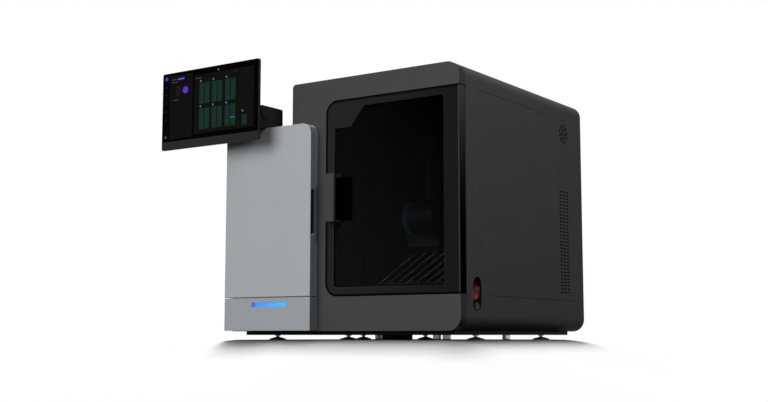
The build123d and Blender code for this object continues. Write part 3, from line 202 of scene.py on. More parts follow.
# tinted pane: see-through, but for a faint film that lightens it towards the lower left, a painted reflection.
# The film is the sum of two halves, one that fades to the right and one that fades upwards, times its weight
def pane(name, tint, paintedReflection):
    material, tree, shader = newMaterial(name)
    coords = addNode(tree, "ShaderNodeTexCoord")
    dust = noiseOver(tree, coords.outputs["Object"], *paneLook["dust"])
    setRoughness(tree, shader, dust, *paneLook["rough"])
    place = placeOf(tree)
    across = ranged(tree, place["X"], *paneLook["reflectionRight"], 0.5, 0.0)
    up = ranged(tree, place["Z"], *paneLook["reflectionUp"], 0.5, 0.0)
    cornered = mathNode(tree, "MULTIPLY", mathNode(tree, "ADD", across, up), paintedReflection)
    tree.links.new(mathNode(tree, "SUBTRACT", 1.0, cornered), shader.inputs["Transmission Weight"])
    shader.inputs["Base Color"].default_value = tint + (1,)
    shader.inputs["IOR"].default_value = paneLook["index"]
    return material


# lit surface of one colour; by outside light it shows that colour times body
def lit(name, colour, strength=1.0, gloss=0.0, body=0.0):
    material, tree, shader = newMaterial(name)
    shader.inputs["Emission Color"].default_value = colour + (1,)
    shader.inputs["Emission Strength"].default_value = strength
    shader.inputs["Base Color"].default_value = tuple(c * body for c in colour) + (1,)
    shader.inputs["Specular IOR Level"].default_value = gloss
    coords = addNode(tree, "ShaderNodeTexCoord")
    setRoughness(tree, shader, noiseOver(tree, coords.outputs["Object"], 800.0, 2.0), 0.2, 0.3)
    return material


# lit surface whose colour eases from first to last between two places on an axis. lead is the colour before its
# own end on that axis, and rim the colour that comes in by ((height - middle) / half) squared
def glow(name, first, last, axis, start, end, strength, gloss=0.2, lead=None, rim=None):
    material = lit(name, last, strength, gloss, body=0.3)
    tree = material.node_tree
    place = placeOf(tree)
    colour = mixColour(tree, ranged(tree, place[axis], start, end, eased=True), first, last)
    if rim:
        rimColour, middle, half = rim
        height = mathNode(tree, "DIVIDE", mathNode(tree, "SUBTRACT", place["Z"], middle), half)
        colour = mixColour(tree, mathNode(tree, "MULTIPLY", height, height), colour, rimColour)
    if lead:
        leadColour, leadEnd = lead
        colour = mixColour(tree, mathNode(tree, "GREATER_THAN", place[axis], leadEnd), leadColour, colour)
    tree.links.new(colour, tree.nodes["Principled BSDF"].inputs["Emission Color"])
    return material


# two coats on one turned piece: rubber up to a height, bare metal above it
def twoTone(name, low, high, height):
    material, tree, shader = newMaterial(name)
    above = mathNode(tree, "GREATER_THAN", placeOf(tree)["Z"], height)
    tree.links.new(mixColour(tree, above, low, high), shader.inputs["Base Color"])
    tree.links.new(above, shader.inputs["Metallic"])
    coords = addNode(tree, "ShaderNodeTexCoord")
    setRoughness(tree, shader, noiseOver(tree, coords.outputs["Object"], 600.0, 2.0), 0.22, 0.42)
    return material


# painted light and shade, each a box by its lowest and highest corner: painted shade on the gap wall round the
# door, a painted highlight on the door's right edge, painted shade in the outer and the deep half of the finger
# scoop, on the tray walls under the slats, and inside the switch cup
doorGapShade = ((0.0445, -0.2764, 0.080), (0.4140, -0.2300, 0.5870), (0.001, 0.001, 0.001))
doorEdgeHighlight = ((0.4108, -0.2775, 0.100), (0.4136, -0.2752, 0.5700), (0.035, 0.035, 0.035))
scoopShade = ((0.0160, -0.3042, 0.2500), (0.0226, -0.2885, 0.3530), (0.052, 0.054, 0.057))
scoopDeepShade = ((0.0080, -0.3042, 0.2500), (0.0160, -0.2885, 0.3530), (0.010, 0.0105, 0.011))
trayWallShade = ((0.1500, -0.2400, 0.0600), (0.4000, -0.1600, 0.1284), (0.003, 0.003, 0.003))
cupShade = ((0.3900, -0.2300, 0.0500), (0.4142, -0.1700, 0.1500), (0.012, 0.012, 0.012))

finishes = {
    # the front frame: darker right sides, partly painted shade, and painted shade on the gap wall round the door
    "frontFrame": coat("frontFrame", (0.048, 0.048, 0.048), rough=0.5, grain=0.10, gloss=0.06,
                       sideColourAndShade=(0.043, 0.043, 0.043), paintedLightPatches=[doorGapShade]),
    "sidePaint": coat("sidePaint", (0.050, 0.050, 0.0505), rough=0.5, grain=0.14, grainSize=700.0, gloss=0.01),
    "rearPaint": coat("rearPaint", (0.050, 0.050, 0.0505), rough=0.5, grain=0.14, grainSize=700.0, gloss=0.02),
    # the door frame: strong painted highlights on its edges (edge 7) and on its right edge, a painted sheen to
    # the left, and near-black right sides with a painted reflection towards their top
    "doorMoulding": coat("doorMoulding", (0.0145, 0.0145, 0.0145), rough=0.45, grain=0.08, edge=7.0,
                         edgeWidth=0.0022, gloss=0.03, sheenFade=(0, 0.05, 0.40, 0.42),
                         sideColourAndShade=(0.0006, 0.0006, 0.0006), sideTopReflection=(0.06, 0.06, 0.06), paintedLightPatches=[doorEdgeHighlight]),
    # the switch cup: painted shade inside it
    "cupMoulding": coat("cupMoulding", (0.030, 0.030, 0.030), rough=0.4, gloss=0.1, paintedLightPatches=[cupShade]),
    "sealRubber": coat("sealRubber", (0.006, 0.006, 0.006), rough=0.75, grain=0.2, edge=1.1, gloss=0.05),
    # the light paint: darker right sides, partly painted shade, and painted shade in the finger scoop, deeper at
    # its back
    "lightPaint": coat("lightPaint", (0.333, 0.348, 0.367), rough=0.38, grain=0.04, cloud=0.03, edge=1.25,
                       gloss=0.2, sideColourAndShade=(0.11, 0.116, 0.122), paintedLightPatches=[scoopShade, scoopDeepShade]),
    # the lower panel: darker right sides, partly painted shade
    "lowerPaint": coat("lowerPaint", (0.285, 0.298, 0.315), rough=0.38, grain=0.04, cloud=0.03, edge=1.25,
                       gloss=0.2, sideColourAndShade=(0.10, 0.105, 0.11)),
    "towerPaint": coat("towerPaint", (0.045, 0.048, 0.053), rough=0.5, grain=0.12, gloss=0.02),
    "blackMoulding": coat("blackMoulding", (0.006, 0.006, 0.007), rough=0.35, grain=0.1, gloss=0.06),
    "dishBlack": coat("dishBlack", (0.0006, 0.0006, 0.0006), rough=0.6, grain=0.1, gloss=0.0),
    # monitor case: lighter edges (edge 2.2), partly a painted highlight
    "monitorCase": coat("monitorCase", (0.016, 0.016, 0.017), rough=0.42, grain=0.08, edge=2.2, gloss=0.05),
    # the door pull: darker right sides, partly painted shade
    "pullMoulding": coat("pullMoulding", (0.04, 0.04, 0.041), rough=0.45, grain=0.1, gloss=0.1,
                         sideColourAndShade=(0.016, 0.016, 0.016)),
    # monitor mount: lighter edges (edge 2.5), a painted highlight along its top
    "mountPaint": coat("mountPaint", (0.0135, 0.014, 0.0155), rough=0.4, grain=0.1, edge=2.5, gloss=0.06),
    "plinthPaint": coat("plinthPaint", (0.006, 0.006, 0.006), rough=0.6, grain=0.15, gloss=0.05),
    "steel": brushed("steel", (0.56, 0.56, 0.57), along=(1, 0.05, 1)),
    "turnedSteel": brushed("turnedSteel", (0.5, 0.49, 0.48), along=(0.2, 0.2, 6), rough=0.25),
    "screwBlack": coat("screwBlack", (0.009, 0.009, 0.009), rough=0.4, metal=0.3, grain=0.05, gloss=0.05),
    "footMetal": twoTone("footMetal", (0.02, 0.02, 0.02), (0.28, 0.28, 0.28), 0.0016),
    "zincSheet": brushed("zincSheet", (0.46, 0.47, 0.49), along=(0.4, 0.4, 0.4), rough=0.42, cloud=0.25),
    "blackSheet": coat("blackSheet", (0.006, 0.006, 0.006), rough=0.5, grain=0.15, gloss=0.05),
    "machined": brushed("machined", (0.11, 0.113, 0.118), along=(1, 1, 0.08), rough=0.4),
    "lampMetal": brushed("lampMetal", (0.055, 0.057, 0.06), along=(0.05, 1, 1), rough=0.5),
    "blackAnodised": coat("blackAnodised", (0.02, 0.02, 0.022), rough=0.38, metal=0.3, grain=0.15, gloss=0.2),
    # the slats: painted shade on the tray walls under them
    "slatBrass": coat("slatBrass", (0.34, 0.30, 0.15), rough=0.4, metal=1.0, grain=0.12, grainSize=420.0,
                      edge=1.3, stretch=(1, 0.1, 1), paintedLightPatches=[trayWallShade]),
    "rackPlastic": coat("rackPlastic", (0.45, 0.45, 0.42), rough=0.5, grain=0.08, edge=1.15),
    "silverKey": coat("silverKey", (0.017, 0.017, 0.0175), rough=0.35, metal=0.2, grain=0.05,
                      stretch=(6, 6, 6), gloss=0.06),
    "fanPlastic": coat("fanPlastic", (0.010, 0.010, 0.010), rough=0.45, grain=0.1, gloss=0.1),
    "doorPane": pane("doorPane", (0.14, 0.145, 0.15), paintedReflection=0.032),
    # the lamp's lens glows blue, brightest at its left end: a painted reflection
    "lensReflectionGlow": glow("lensReflectionGlow", (0.35, 0.65, 0.9), (0.12, 0.3, 0.5), 0, 0.184, 0.19, 1.0),
    # the lamp's glass cap glows faintly blue: a painted reflection
    "domeReflectionGlow": lit("domeReflectionGlow", (0.008, 0.028, 0.040), 1.0, gloss=0.1, body=1.2),
    "screenGlass": coat("screenGlass", (0.0013, 0.0013, 0.0015), rough=0.12, grain=0.0, cloud=0.02, gloss=0.0),
    "statusLens": glow("statusLens", (0.030, 0.22, 0.93), (0.036, 0.42, 1.0), 0, -0.150, -0.050, 1.0,
                       lead=((0.030, 0.018, 0.66), -0.1425), rim=((0.022, 0.075, 0.72), 0.084, 0.0082)),
    "gapShadeRubber": coat("gapShadeRubber", (0.0025, 0.0025, 0.0025), rough=0.6, grain=0.15, edge=1.2, gloss=0.02),
    "filterMesh": coat("filterMesh", (0.034, 0.034, 0.035), rough=0.8, grain=0.6, grainSize=500.0, gloss=0.0),
    "slideGlass": coat("slideGlass", (0.42, 0.50, 0.48), rough=0.12, grain=0.0, cloud=0.03, edge=1.5, gloss=0.5),
    "slideLabel": coat("slideLabel", (0.72, 0.73, 0.72), rough=0.7, grain=0.05, cloud=0.04, edge=1.05, gloss=0.1),
    "plateFoil": coat("plateFoil", (0.17, 0.17, 0.175), rough=0.5, grain=0.05, cloud=0.05, edge=1.1, gloss=0.1),
    "legendInk": coat("legendInk", (0.26, 0.20, 0.18), rough=0.5, grain=0.0, cloud=0.02, edge=1.0, gloss=0.05),
    "rockerCap": glow("rockerCap", (0.050, 0.0025, 0.0025), (0.12, 0.015, 0.003), 2, 0.112, 0.090, 0.62,
                      gloss=0.02),
}
nodeFinish = {
    "cabinet_shell": "sidePaint", "front_bezel": "frontFrame", "door_jamb": "blackSheet",
    "rear_cover": "rearPaint", "mains_inlet": "blackMoulding", "side_panel": "sidePaint",
    "panel_screws": "screwBlack", "fan_grille": "sidePaint", "fan_frame": "fanPlastic",
    "fan_rotor": "fanPlastic", "switch_cup": "cupMoulding", "power_rocker": "rockerCap",
    "standby_button": "silverKey", "plinth": "plinthPaint", "support_studs": "turnedSteel",
    "door_frame": "doorMoulding", "door_glass": "doorPane", "door_seal": "sealRubber",
    "hinge_pins": "screwBlack", "door_pull": "pullMoulding", "pull_dish": "dishBlack",
    "tower_housing": "towerPaint", "lower_panel": "lowerPaint", "status_light": "statusLens",
    "drawer_front": "lightPaint", "drawer_carriage": "zincSheet", "fixed_rails": "steel",
    "drawer_runners": "steel", "monitor_mount": "mountPaint", "tilt_pin": "mountPaint",
    "monitor_bracket": "mountPaint", "monitor_housing": "monitorCase", "display_glass": "screenGlass",
    "optics_base": "blackAnodised", "optics_column": "machined", "stage_rails": "steel",
    "stage_saddle": "machined", "stage_plate": "blackAnodised", "focus_head": "machined",
    "nosepiece": "blackAnodised", "objectives": "turnedSteel", "camera_unit": "blackAnodised",
    "lamp_house": "lampMetal", "lamp_lens": "lensReflectionGlow", "slat_tray": "slatBrass",
    "transfer_post": "blackAnodised", "transfer_lift": "blackAnodised", "transfer_fork": "machined",
}
for name, part in nodes.items():
    if name.startswith("levelling_foot"):
        finish = "footMetal"
    elif name.startswith("slide_rack"):
        finish = "rackPlastic"
    else:
        finish = nodeFinish[name]
    part.data.materials.clear()
    part.data.materials.append(finishes[finish])
print("finishes given")


# a new piece from points and faces, with the material if one is given; with a body it rides on it
def meshPiece(name, points, faces, material=None, body=None, smooth=False):
    mesh = bpy.data.meshes.new(name)
    mesh.from_pydata(points.reshape(-1, 3).tolist(), [], faces.tolist())
    if smooth:
        mesh.shade_smooth()
    if material:
        mesh.materials.append(material)
    piece = bpy.data.objects.new(name, mesh)
    bpy.context.scene.collection.objects.link(piece)
    if body:
        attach(piece, body)
    return piece


# quads between neighbouring rows and columns of a grid of points; closed joins the last column to the first
def gridQuads(rows, columns, closed=False):
    index = np.arange(rows * columns).reshape(rows, columns)
    if closed:
        index = np.hstack([index, index[:, :1]])
    return np.stack([index[:-1, :-1], index[1:, :-1], index[1:, 1:], index[:-1, 1:]], -1).reshape(-1, 4)


# a smooth sheet from a grid of points
def surface(name, grid, material=None, body=None, closed=False):
    quads = gridQuads(*grid.shape[:2], closed)
    return meshPiece(name, grid, quads, material, body, smooth=True)


# many flat-sided blocks in one mesh: corner signs times half sizes plus centres, as one array
def blocks(name, centres, sizes, material, body):
    centres, sizes = np.asarray(centres, float), np.asarray(sizes, float)
    signs = np.array([(x, y, z) for x in (-1, 1) for y in (-1, 1) for z in (-1, 1)], float)
    points = centres[:, None, :] + signs[None] * sizes[:, None, :] / 2
    quads = np.array([(0, 1, 3, 2), (4, 6, 7, 5), (0, 4, 5, 1), (2, 3, 7, 6), (0, 2, 6, 4), (1, 5, 7, 3)])
    faces = (np.arange(len(centres))[:, None, None] * 8 + quads[None]).reshape(-1, 4)
    return meshPiece(name, points, faces, material, body)


# round flat discs in one mesh, facing the front: centres plus a ring of points each
def discs(name, centres, radii, material, body, corners=28):
    centres, radii = np.asarray(centres, float), np.asarray(radii, float)
    turn = np.linspace(0, 2 * np.pi, corners, endpoint=False)
    ring = np.stack([np.cos(turn), np.zeros(corners), np.sin(turn)], -1)
    points = centres[:, None, :] + ring[None] * radii[:, None, None]
    faces = np.arange(len(centres))[:, None] * corners + np.arange(corners)[None]
    return meshPiece(name, points, faces, material, body)


# a profile carried along a path that lies in a plane: each path point plus the profile's first number times the
# sideways direction (out cross tangent) and its second number times out
def carried(name, path, profile, out, material, body):
    path, profile, out = (np.asarray(a, float) for a in (path, profile, out))
    side = np.cross(out, np.gradient(path, axis=0))
    side /= np.linalg.norm(side, axis=1, keepdims=True)
    grid = path[:, None] + side[:, None] * profile[None, :, :1] + out * profile[None, :, 1:]
    return surface(name, grid, material, body)


# rings swept about an axis through a centre: every ring point is centre + along * axis + radius * (cos, sin)
def turned(name, centres, profile, axis, material, body, sides=32):
    centres, profile, axis = (np.asarray(a, float) for a in (centres, profile, axis))
    first = np.cross(axis, (0, 0, 1) if abs(axis[2]) < 0.9 else (1, 0, 0))
    first /= np.linalg.norm(first)
    second = np.cross(axis, first)
    turn = np.linspace(0, 2 * np.pi, sides, endpoint=False)
    ring = np.cos(turn)[:, None] * first + np.sin(turn)[:, None] * second
    one = profile[:, None, :1] * axis + profile[:, None, 1:] * ring
    points = centres[:, None, None] + one[None]
    shift = np.arange(len(centres))[:, None, None] * len(profile) * sides
    faces = (shift + gridQuads(len(profile), sides, closed=True)[None]).reshape(-1, 4)
    return meshPiece(name, points, faces, material, body, smooth=True)


# black strip round the top, left and bottom edge of the door, painted shade for the dark gap round it: a low
# rounded profile
doorTrim = {"left": 0.0485, "right": 0.4125, "low": 0.1027, "top": 0.5642, "corner": 0.030, "width": 0.0036,
            "proud": 0.0005, "front": -0.2770, "sink": 0.0003}
inset = doorTrim["width"] / 2
bend = doorTrim["corner"] - inset
turn = np.linspace(0, np.pi / 2, 25)
topArc = np.stack([doorTrim["left"] + doorTrim["corner"] - bend * np.sin(turn),
                   doorTrim["top"] - doorTrim["corner"] + bend * np.cos(turn)], -1)
lowArc = np.stack([doorTrim["left"] + doorTrim["corner"] - bend * np.cos(turn),
                   doorTrim["low"] + doorTrim["corner"] - bend * np.sin(turn)], -1)
line = np.vstack([[[doorTrim["right"], doorTrim["top"] - inset]], topArc, lowArc,
                  [[doorTrim["right"], doorTrim["low"] + inset]]])
path = np.stack([line[:, 0], np.full(len(line), doorTrim["front"]), line[:, 1]], -1)
turn = np.linspace(0, np.pi, 13)
rounded = np.stack([inset * np.cos(turn), (doorTrim["proud"] + doorTrim["sink"]) * np.sqrt(np.sin(turn))
                    - doorTrim["sink"]], -1)
carried("doorTrim", path, rounded, (0, -1, 0), finishes["gapShadeRubber"], "door")

# filter cloth behind the side slots and behind the fan grille: flat sheets with a fine ripple, a sine of the
# place over the pitch
vents = {"x": 0.4122, "ripple": 0.00025, "pitch": 0.0032, "slots": ((0.2185, 0.2905), (0.1140, 0.3900)),
         "fan": (0.2570, 0.5280), "fanRadius": 0.0345}
acrossSlots, upSlots = np.meshgrid(np.linspace(*vents["slots"][0], 60), np.linspace(*vents["slots"][1], 180),
                                   indexing="ij")
wave = np.sin(2 * np.pi * acrossSlots / vents["pitch"]) * np.sin(2 * np.pi * upSlots / vents["pitch"])
surface("slotFilter", np.stack([vents["x"] - vents["ripple"] * wave, acrossSlots, upSlots], -1),
        finishes["filterMesh"], "cabinet")
radius, turn = np.meshgrid(np.linspace(0.0005, vents["fanRadius"], 30),
                           np.linspace(0, 2 * np.pi, 72, endpoint=False), indexing="ij")
wave = np.sin(2 * np.pi * radius / vents["pitch"])
surface("fanFilter", np.stack([vents["x"] - vents["ripple"] * wave, vents["fan"][0] + radius * np.cos(turn),
                               vents["fan"][1] + radius * np.sin(turn)], -1),
        finishes["filterMesh"], "cabinet", closed=True)

# hexagon sockets in the panel screws: a shallow cup, six-sided, painted black as painted shade in each socket
sockets = {"face": 0.41452, "radius": 0.00125, "rim": 0.00155,
           "places": ((-0.138, 0.560), (0.119, 0.560), (-0.182, 0.499), (0.154, 0.506), (0.226, 0.420),
                      (0.302, 0.355), (-0.182, 0.213), (-0.130, 0.107), (0.061, 0.107), (0.302, 0.157))}
places = np.array([(sockets["face"], y, z) for y, z in sockets["places"]])
turned("screwSockets", places, [(0.0, sockets["rim"]), (0.00002, sockets["radius"]), (0.00001, 0.0002)],
       (1, 0, 0), finishes["dishBlack"], "cabinet", sides=6)

# bar and ring on the rocker, printed on the two slopes of its cap
rocker = {"origin": (0.4048, -0.2035, 0.1060), "tilt": 9.0, "valley": 0.0058, "slope": 0.148, "out": 0.00006,
          "barAt": 0.0086, "bar": (0.0014, 0.0060), "ringAt": -0.0086, "ring": (0.0024, 0.0034)}
tilt = math.radians(rocker["tilt"])
outward = np.array([math.cos(tilt), 0, -math.sin(tilt)])
upward = np.array([math.sin(tilt), 0, math.cos(tilt)])


# a point on the cap: its valley plus the slope times the height off the middle, along the tilted directions
def onRocker(across, up):
    out = rocker["valley"] + rocker["slope"] * np.abs(up) + rocker["out"]
    return (np.array(rocker["origin"]) + out[..., None] * outward + up[..., None] * upward
            + across[..., None] * np.array([0.0, 1.0, 0.0]))


across, up = np.meshgrid(np.linspace(-0.5, 0.5, 5) * rocker["bar"][0],
                         rocker["barAt"] + np.linspace(-0.5, 0.5, 9) * rocker["bar"][1], indexing="ij")
surface("rockerBar", onRocker(across, up), finishes["legendInk"], "power_switch")
radius, turn = np.meshgrid(rocker["ring"], np.linspace(0, 2 * np.pi, 40, endpoint=False), indexing="ij")
surface("rockerRing", onRocker(radius * np.cos(turn), rocker["ringAt"] + radius * np.sin(turn)),
        finishes["legendInk"], "power_switch", closed=True)

# glass slides lying on the ledges of the six racks, each with a pale label at its open end
slides = {"x0": -0.2275, "length": 0.0750, "width": 0.0250, "thick": 0.0010, "label": 0.0200,
          "labelThick": 0.0012, "lift": 0.0001, "columns": (0.01725, 0.04875), "firstLedge": 0.01265,
          "pitch": 0.0149, "ledges": 10, "rackY": (-0.2510, -0.1470, -0.0430), "rackZ": (0.1140, 0.3000),
          "empty": (7, 13, 18), "emptyStep": 3}
glassLong = slides["length"] - slides["label"]
for shelf, rackZ in enumerate(slides["rackZ"]):
    for row, rackY in enumerate(slides["rackY"]):
        rack = shelf * len(slides["rackY"]) + row + 1
        column, ledge = np.meshgrid(np.array(slides["columns"]), np.arange(slides["ledges"]), indexing="ij")
        y = rackY + column.ravel()
        z = (rackZ + slides["firstLedge"] + slides["pitch"] * ledge.ravel() + slides["thick"] / 2
             + slides["lift"])
        empty = [(n + slides["emptyStep"] * rack) % len(y) for n in slides["empty"]]
        taken = ~np.isin(np.arange(len(y)), empty)
        y, z = y[taken], z[taken]
        middles = np.stack([np.full(len(y), slides["x0"] + glassLong / 2), y, z], -1)
        sizes = np.tile([glassLong, slides["width"], slides["thick"]], (len(y), 1))
        blocks("rackSlides%d" % rack, middles, sizes, finishes["slideGlass"], "rack_%d" % rack)
        middles = middles + [slides["length"] / 2, 0, 0]
        sizes = np.tile([slides["label"], slides["width"], slides["labelThick"]], (len(y), 1))
        blocks("rackLabels%d" % rack, middles, sizes, finishes["slideLabel"], "rack_%d" % rack)

# glass cap over the left end of the lamp, glowing faintly blue as a painted reflection: a skirt, a rounded
# shoulder and a low dome. The dome's height is height * cos(t) and its radius rim * sin(t); the shoulder is a
# quarter of a circle
lampCap = {"end": (0.1862, -0.1160, 0.2900), "skirt": 0.0105, "radius": 0.0406, "shoulder": 0.0030,
           "height": 0.0080, "rim": 0.0340}
turn = np.linspace(0.02, np.pi / 2, 20)
dome = np.stack([lampCap["shoulder"] + lampCap["height"] * np.cos(turn), lampCap["rim"] * np.sin(turn)], -1)
bendIn = lampCap["radius"] - lampCap["shoulder"]
shoulder = np.stack([lampCap["shoulder"] * np.cos(turn), bendIn + lampCap["shoulder"] * np.sin(turn)], -1)
turned("lampCap", [lampCap["end"]], np.vstack([dome, shoulder, [[-lampCap["skirt"], lampCap["radius"]]]]),
       (-1, 0, 0), finishes["domeReflectionGlow"], "focus", sides=72)

# four domed screw heads on the monitor's back plate, each a quarter of an ellipse turned round
backHeads = {"right": (-0.3060, -0.2010), "up": (0.5440, 0.6190), "back": -0.33705, "height": 0.0012,
             "rim": 0.0032}
turn = np.linspace(0.05, np.pi / 2, 9)
headRight, headUp = np.meshgrid(backHeads["right"], backHeads["up"])
turned("monitorHeads", np.stack([headRight.ravel(), np.full(4, backHeads["back"]), headUp.ravel()], -1),
       np.stack([backHeads["height"] * np.cos(turn), backHeads["rim"] * np.sin(turn)], -1),
       (0, 1, 0), finishes["screwBlack"], "monitor")

# bare rating plate on the back: a thin rounded foil, |x/a|^n + |z/b|^n = 1 for its outline
plate = {"centre": (0.1400, 0.0930), "half": (0.0300, 0.0180), "power": 14.0, "back": 0.36215,
         "rings": (0.02, 0.6, 0.97, 1.0), "sink": (0.0, 0.0, 0.0, 0.00015)}
turn = np.linspace(0, 2 * np.pi, 96, endpoint=False)
edgeX = np.sign(np.cos(turn)) * np.abs(np.cos(turn)) ** (2 / plate["power"])
edgeZ = np.sign(np.sin(turn)) * np.abs(np.sin(turn)) ** (2 / plate["power"])
share, sink = (np.array(plate[key])[:, None] for key in ("rings", "sink"))
surface("ratingPlate", np.stack([plate["centre"][0] + plate["half"][0] * share * edgeX,
                                 plate["back"] - sink + 0 * edgeX[None],
                                 plate["centre"][1] + plate["half"][1] * share * edgeZ], -1),
        finishes["plateFoil"], "cabinet", closed=True)
print("small pieces made")

# the picture on the screen, in metres right and down from the glass's top left corner
screen = {
    "page": (0.0060, 0.0060, 0.0062), "rail": (0.0022, 0.0022, 0.0024), "cell": (0.012, 0.040, 0.026),
    "cellDim": (0.006, 0.019, 0.013), "mark": (0.06, 0.22, 0.15), "violet": (0.10, 0.035, 0.60),
    "blue": (0.07, 0.13, 0.55), "text": (0.06, 0.062, 0.066), "faint": (0.016, 0.016, 0.018),
    "amber": (0.05, 0.034, 0.006), "pink": (0.12, 0.05, 0.10), "layer": 0.00008, "thick": 0.00003,
    "cellPitch": 0.0033, "cellSize": (0.0148, 0.0021), "markRadius": 0.0027,
}
glassLow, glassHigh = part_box("display_glass")


# places on the glass, in front of it by the layer's number times its thickness
def onScreen(right, down, layer):
    right, down = np.broadcast_arrays(np.asarray(right, float), np.asarray(down, float))
    front = np.full(right.shape, glassLow[1] - layer * screen["layer"])
    return np.stack([glassLow[0] + right, front, glassHigh[2] - down], -1).reshape(-1, 3)


# thin lit oblongs of one size
def screenTiles(name, right, down, size, colour, layer):
    places = onScreen(right, down, layer)
    sizes = np.tile([size[0], screen["thick"], size[1]], (len(places), 1))
    return blocks(name, places, sizes, lit(name, screen[colour]), "monitor")


# lit round marks of one size
def screenDots(name, right, down, radius, colour, layer):
    places = onScreen(right, down, layer)
    return discs(name, places, np.full(len(places), radius), lit(name, screen[colour]), "monitor")


screenTiles("screenRail", [0.0115], [0.0877], (0.017, 0.163), "rail", 1)
screenTiles("screenListPage", [0.0625], [0.0877], (0.079, 0.163), "page", 1)
screenTiles("screenMainPage", [0.2060], [0.0890], (0.196, 0.150), "page", 1)
screenTiles("screenHeading", [0.0380, 0.1220, 0.0400, 0.0460], [0.0165, 0.0225, 0.0235, 0.0700],
            (0.020, 0.0020), "text", 2)
screenTiles("screenLink", [0.0620], [0.0165], (0.022, 0.0040), "blue", 2)
screenDots("screenChosen", [0.0112], [0.0120], 0.0050, "violet", 2)
screenDots("screenAmount", [0.0775], [0.0470], 0.0092, "violet", 2)
screenDots("screenProfile", [0.0110], [0.1630], 0.0036, "pink", 2)
screenTiles("screenIcons", np.full(5, 0.0113), 0.034 + np.arange(5) * 0.021, (0.0042, 0.0036), "faint", 2)
amberRight, amberDown = np.meshgrid(0.048 + np.arange(3) * 0.0045, 0.038 + np.arange(5) * 0.0048)
screenTiles("screenTally", amberRight, amberDown, (0.0024, 0.0020), "amber", 2)

# racks of slides: three pairs of columns in two rows, every column a stack of thin cells
pairRight = np.array([0.1425, 0.1842, 0.2282])
columnRight = (pairRight[:, None] + np.array([-0.0092, 0.0092])).ravel()
rackDown = np.array([0.0630, 0.1275])
cellDown = (rackDown[:, None] + (np.arange(16) - 7.5) * screen["cellPitch"]).ravel()
cellRight, cellFall = np.meshgrid(columnRight, cellDown)
screenTiles("screenColumns", *np.meshgrid(columnRight, rackDown), (0.0164, 0.0535), "cellDim", 2)
screenTiles("screenCells", cellRight, cellFall, screen["cellSize"], "cell", 3)
screenTiles("screenLastColumn", [0.2745], [0.1440], (0.0160, 0.0270), "cellDim", 2)
screenTiles("screenLastCells", np.full(7, 0.2745), 0.1342 + np.arange(7) * screen["cellPitch"],
            (0.0142, 0.0021), "cell", 3)
dotRight, dotDown = np.meshgrid(pairRight - 0.0125, rackDown - 0.0320)
screenDots("screenRackMarks", np.append(dotRight.ravel()[:5], [0.2690, 0.1880]),
           np.append(dotDown.ravel()[:5], [0.1215, 0.0090]), screen["markRadius"], "mark", 3)
screenDots("screenMenuMark", [0.2445], [0.0200], 0.0013, "text", 3)
screenDots("screenActiveMark", dotRight.ravel()[5:], dotDown.ravel()[5:], screen["markRadius"], "blue", 3)
screenTiles("screenActiveCells", [0.2370, 0.2370], [0.1330, 0.1345], (0.0140, 0.0010), "blue", 4)
print("screen picture made")

studio = {"floorReach": 12.0, "floorRows": 241, "floorCrowd": 5.0, "floorMiddle": (0.0865, 0.0),
          "floorHalf": (0.300, 0.275), "floorFall": 0.21, "floorEase": 0.04, "floorBounce": 0.06,
          "floorSeen": 0.95, "floorRough": 0.95, "worldLight": 0.12}
world = bpy.data.worlds.new("studioWorld")
bpy.context.scene.world = world
world.use_nodes = True


# the seen value for rays from the camera, off metal and through glass, and the plain value for the rest:
# plain + (seen - plain) * the largest of the three ray tests
def seenOrLit(tree, plain, seen):
    path = tree.nodes.new("ShaderNodeLightPath")
    mirrored = mathNode(tree, "MAXIMUM", path.outputs["Is Glossy Ray"], path.outputs["Is Transmission Ray"])
    looked = mathNode(tree, "MAXIMUM", path.outputs["Is Camera Ray"], mirrored)
    return mathNode(tree, "ADD", mathNode(tree, "MULTIPLY", looked, seen - plain), plain)


tree = world.node_tree
backdrop = tree.nodes["Background"]
backdrop.inputs["Color"].default_value = (1, 1, 1, 1)
tree.links.new(seenOrLit(tree, studio["worldLight"], 1.0), backdrop.inputs["Strength"])

# pale floor, level under the unit and falling gently away beyond it: the height is minus the slope times
# sqrt(d^2 + e^2) - e, where d is the distance outside the level rectangle and e eases the bend. The rows crowd
# towards the middle by a hyperbolic sine
steps = np.linspace(-1, 1, studio["floorRows"])
reach = studio["floorReach"] * np.sinh(studio["floorCrowd"] * steps) / np.sinh(studio["floorCrowd"])
floorX, floorY = np.meshgrid(reach, reach, indexing="ij")
outside = np.hypot(*(np.maximum(np.abs(along - middle) - half, 0) for along, middle, half
                     in zip((floorX, floorY), studio["floorMiddle"], studio["floorHalf"])))
ease = studio["floorEase"]
floorZ = -studio["floorFall"] * (np.hypot(outside, ease) - ease)
floor = surface("studioFloor", np.stack([floorX, floorY, floorZ], -1))
floorPaint, tree, shader = newMaterial("floorPaint")
tree.links.new(seenOrLit(tree, studio["floorBounce"], studio["floorSeen"]), shader.inputs["Base Color"])
shader.inputs["Roughness"].default_value = studio["floorRough"]
shader.inputs["Specular IOR Level"].default_value = 0.0
floor.data.materials.append(floorPaint)

# the floor has three lamps of its own, high up behind the machine, and the other lamps leave it out
floorOnly = bpy.data.collections.new("floorOnly")
floorOnly.objects.link(floor)
floorLeftOut = bpy.data.collections.new("floorLeftOut")
floorLeftOut.objects.link(floor)
floorLeftOut.collection_objects[0].light_linking.link_state = "EXCLUDE"
floorCasters = bpy.data.collections.new("floorCasters")  # the monitor casts no shadow on the floor
for piece in nodes["monitor_housing"].parent.children:
    floorCasters.objects.link(piece)
for member in floorCasters.collection_objects:
    member.light_linking.link_state = "EXCLUDE"


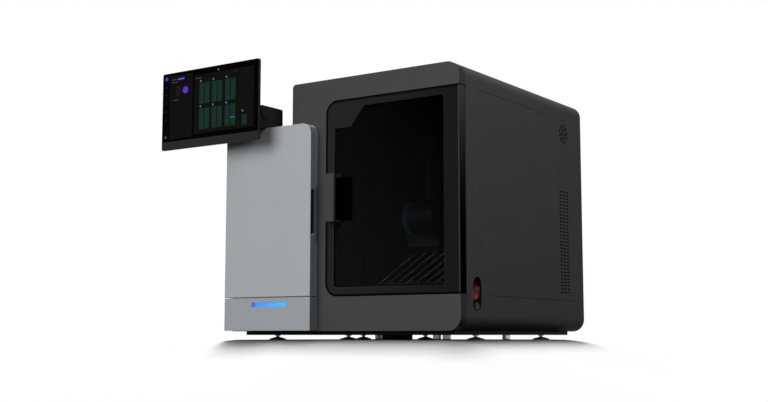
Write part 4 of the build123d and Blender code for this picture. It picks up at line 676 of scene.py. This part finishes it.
# a lamp that lights only what its collection allows, and that no metal mirrors
def hang(name, lamp, receivers):
    holder = bpy.data.objects.new(name, lamp)
    bpy.context.scene.collection.objects.link(holder)
    holder.visible_glossy = False
    holder.light_linking.receiver_collection = receivers
    if receivers == floorOnly:
        holder.light_linking.blocker_collection = floorCasters
    return holder


# wide soft lamp, far away: it comes from a bearing (0 is the front, 90 the right) and a height, both in
# degrees
def farLamp(name, bearing, height, spread, strength, receivers=floorLeftOut):
    lamp = bpy.data.lights.new(name, "SUN")
    lamp.angle = math.radians(spread)
    lamp.energy = strength
    holder = hang(name, lamp, receivers)
    holder.rotation_euler = (math.radians(90 - height), 0, math.radians(bearing))


# square lamp close by, turned from its place towards a point
def nearLamp(name, place, aim, size, watts):
    lamp = bpy.data.lights.new(name, "AREA")
    lamp.size = size
    lamp.energy = watts
    holder = hang(name, lamp, floorLeftOut)
    right, back, up = (a - b for a, b in zip(place, aim))
    holder.location = place
    holder.rotation_euler = (math.atan2(math.hypot(right, back), up), 0, math.atan2(right, -back))


floorLamps = {"bearing": 214, "heights": (85, 80, 73), "spread": 8, "strength": 1.05}
for height in floorLamps["heights"]:
    farLamp("floorLamp%d" % height, floorLamps["bearing"], height, floorLamps["spread"],
            floorLamps["strength"], floorOnly)
farLamp("rearLamp", bearing=200, height=40, spread=60, strength=2.2)
farLamp("keyLamp", bearing=-8, height=18, spread=46, strength=2.72)
nearLamp("sideLamp", place=(1.5, -0.75, 1.6), aim=(0.4145, 0.0, 0.35), size=0.9, watts=22.0)
print("lamps placed")

shot = {"place": (1.6743, -2.4325, 0.0108), "pitch": 96.69, "turn": 34.13, "lens": 53.66, "sensor": 36.0}
lens = bpy.data.cameras.new("shotCamera")
lens.lens = shot["lens"]
lens.sensor_width = shot["sensor"]
camera = bpy.data.objects.new("shotCamera", lens)
bpy.context.scene.collection.objects.link(camera)
camera.location = shot["place"]
camera.rotation_euler = (math.radians(shot["pitch"]), 0, math.radians(shot["turn"]))
bpy.context.scene.camera = camera
bpy.context.scene.view_settings.view_transform = "Standard"
print("studio ready")
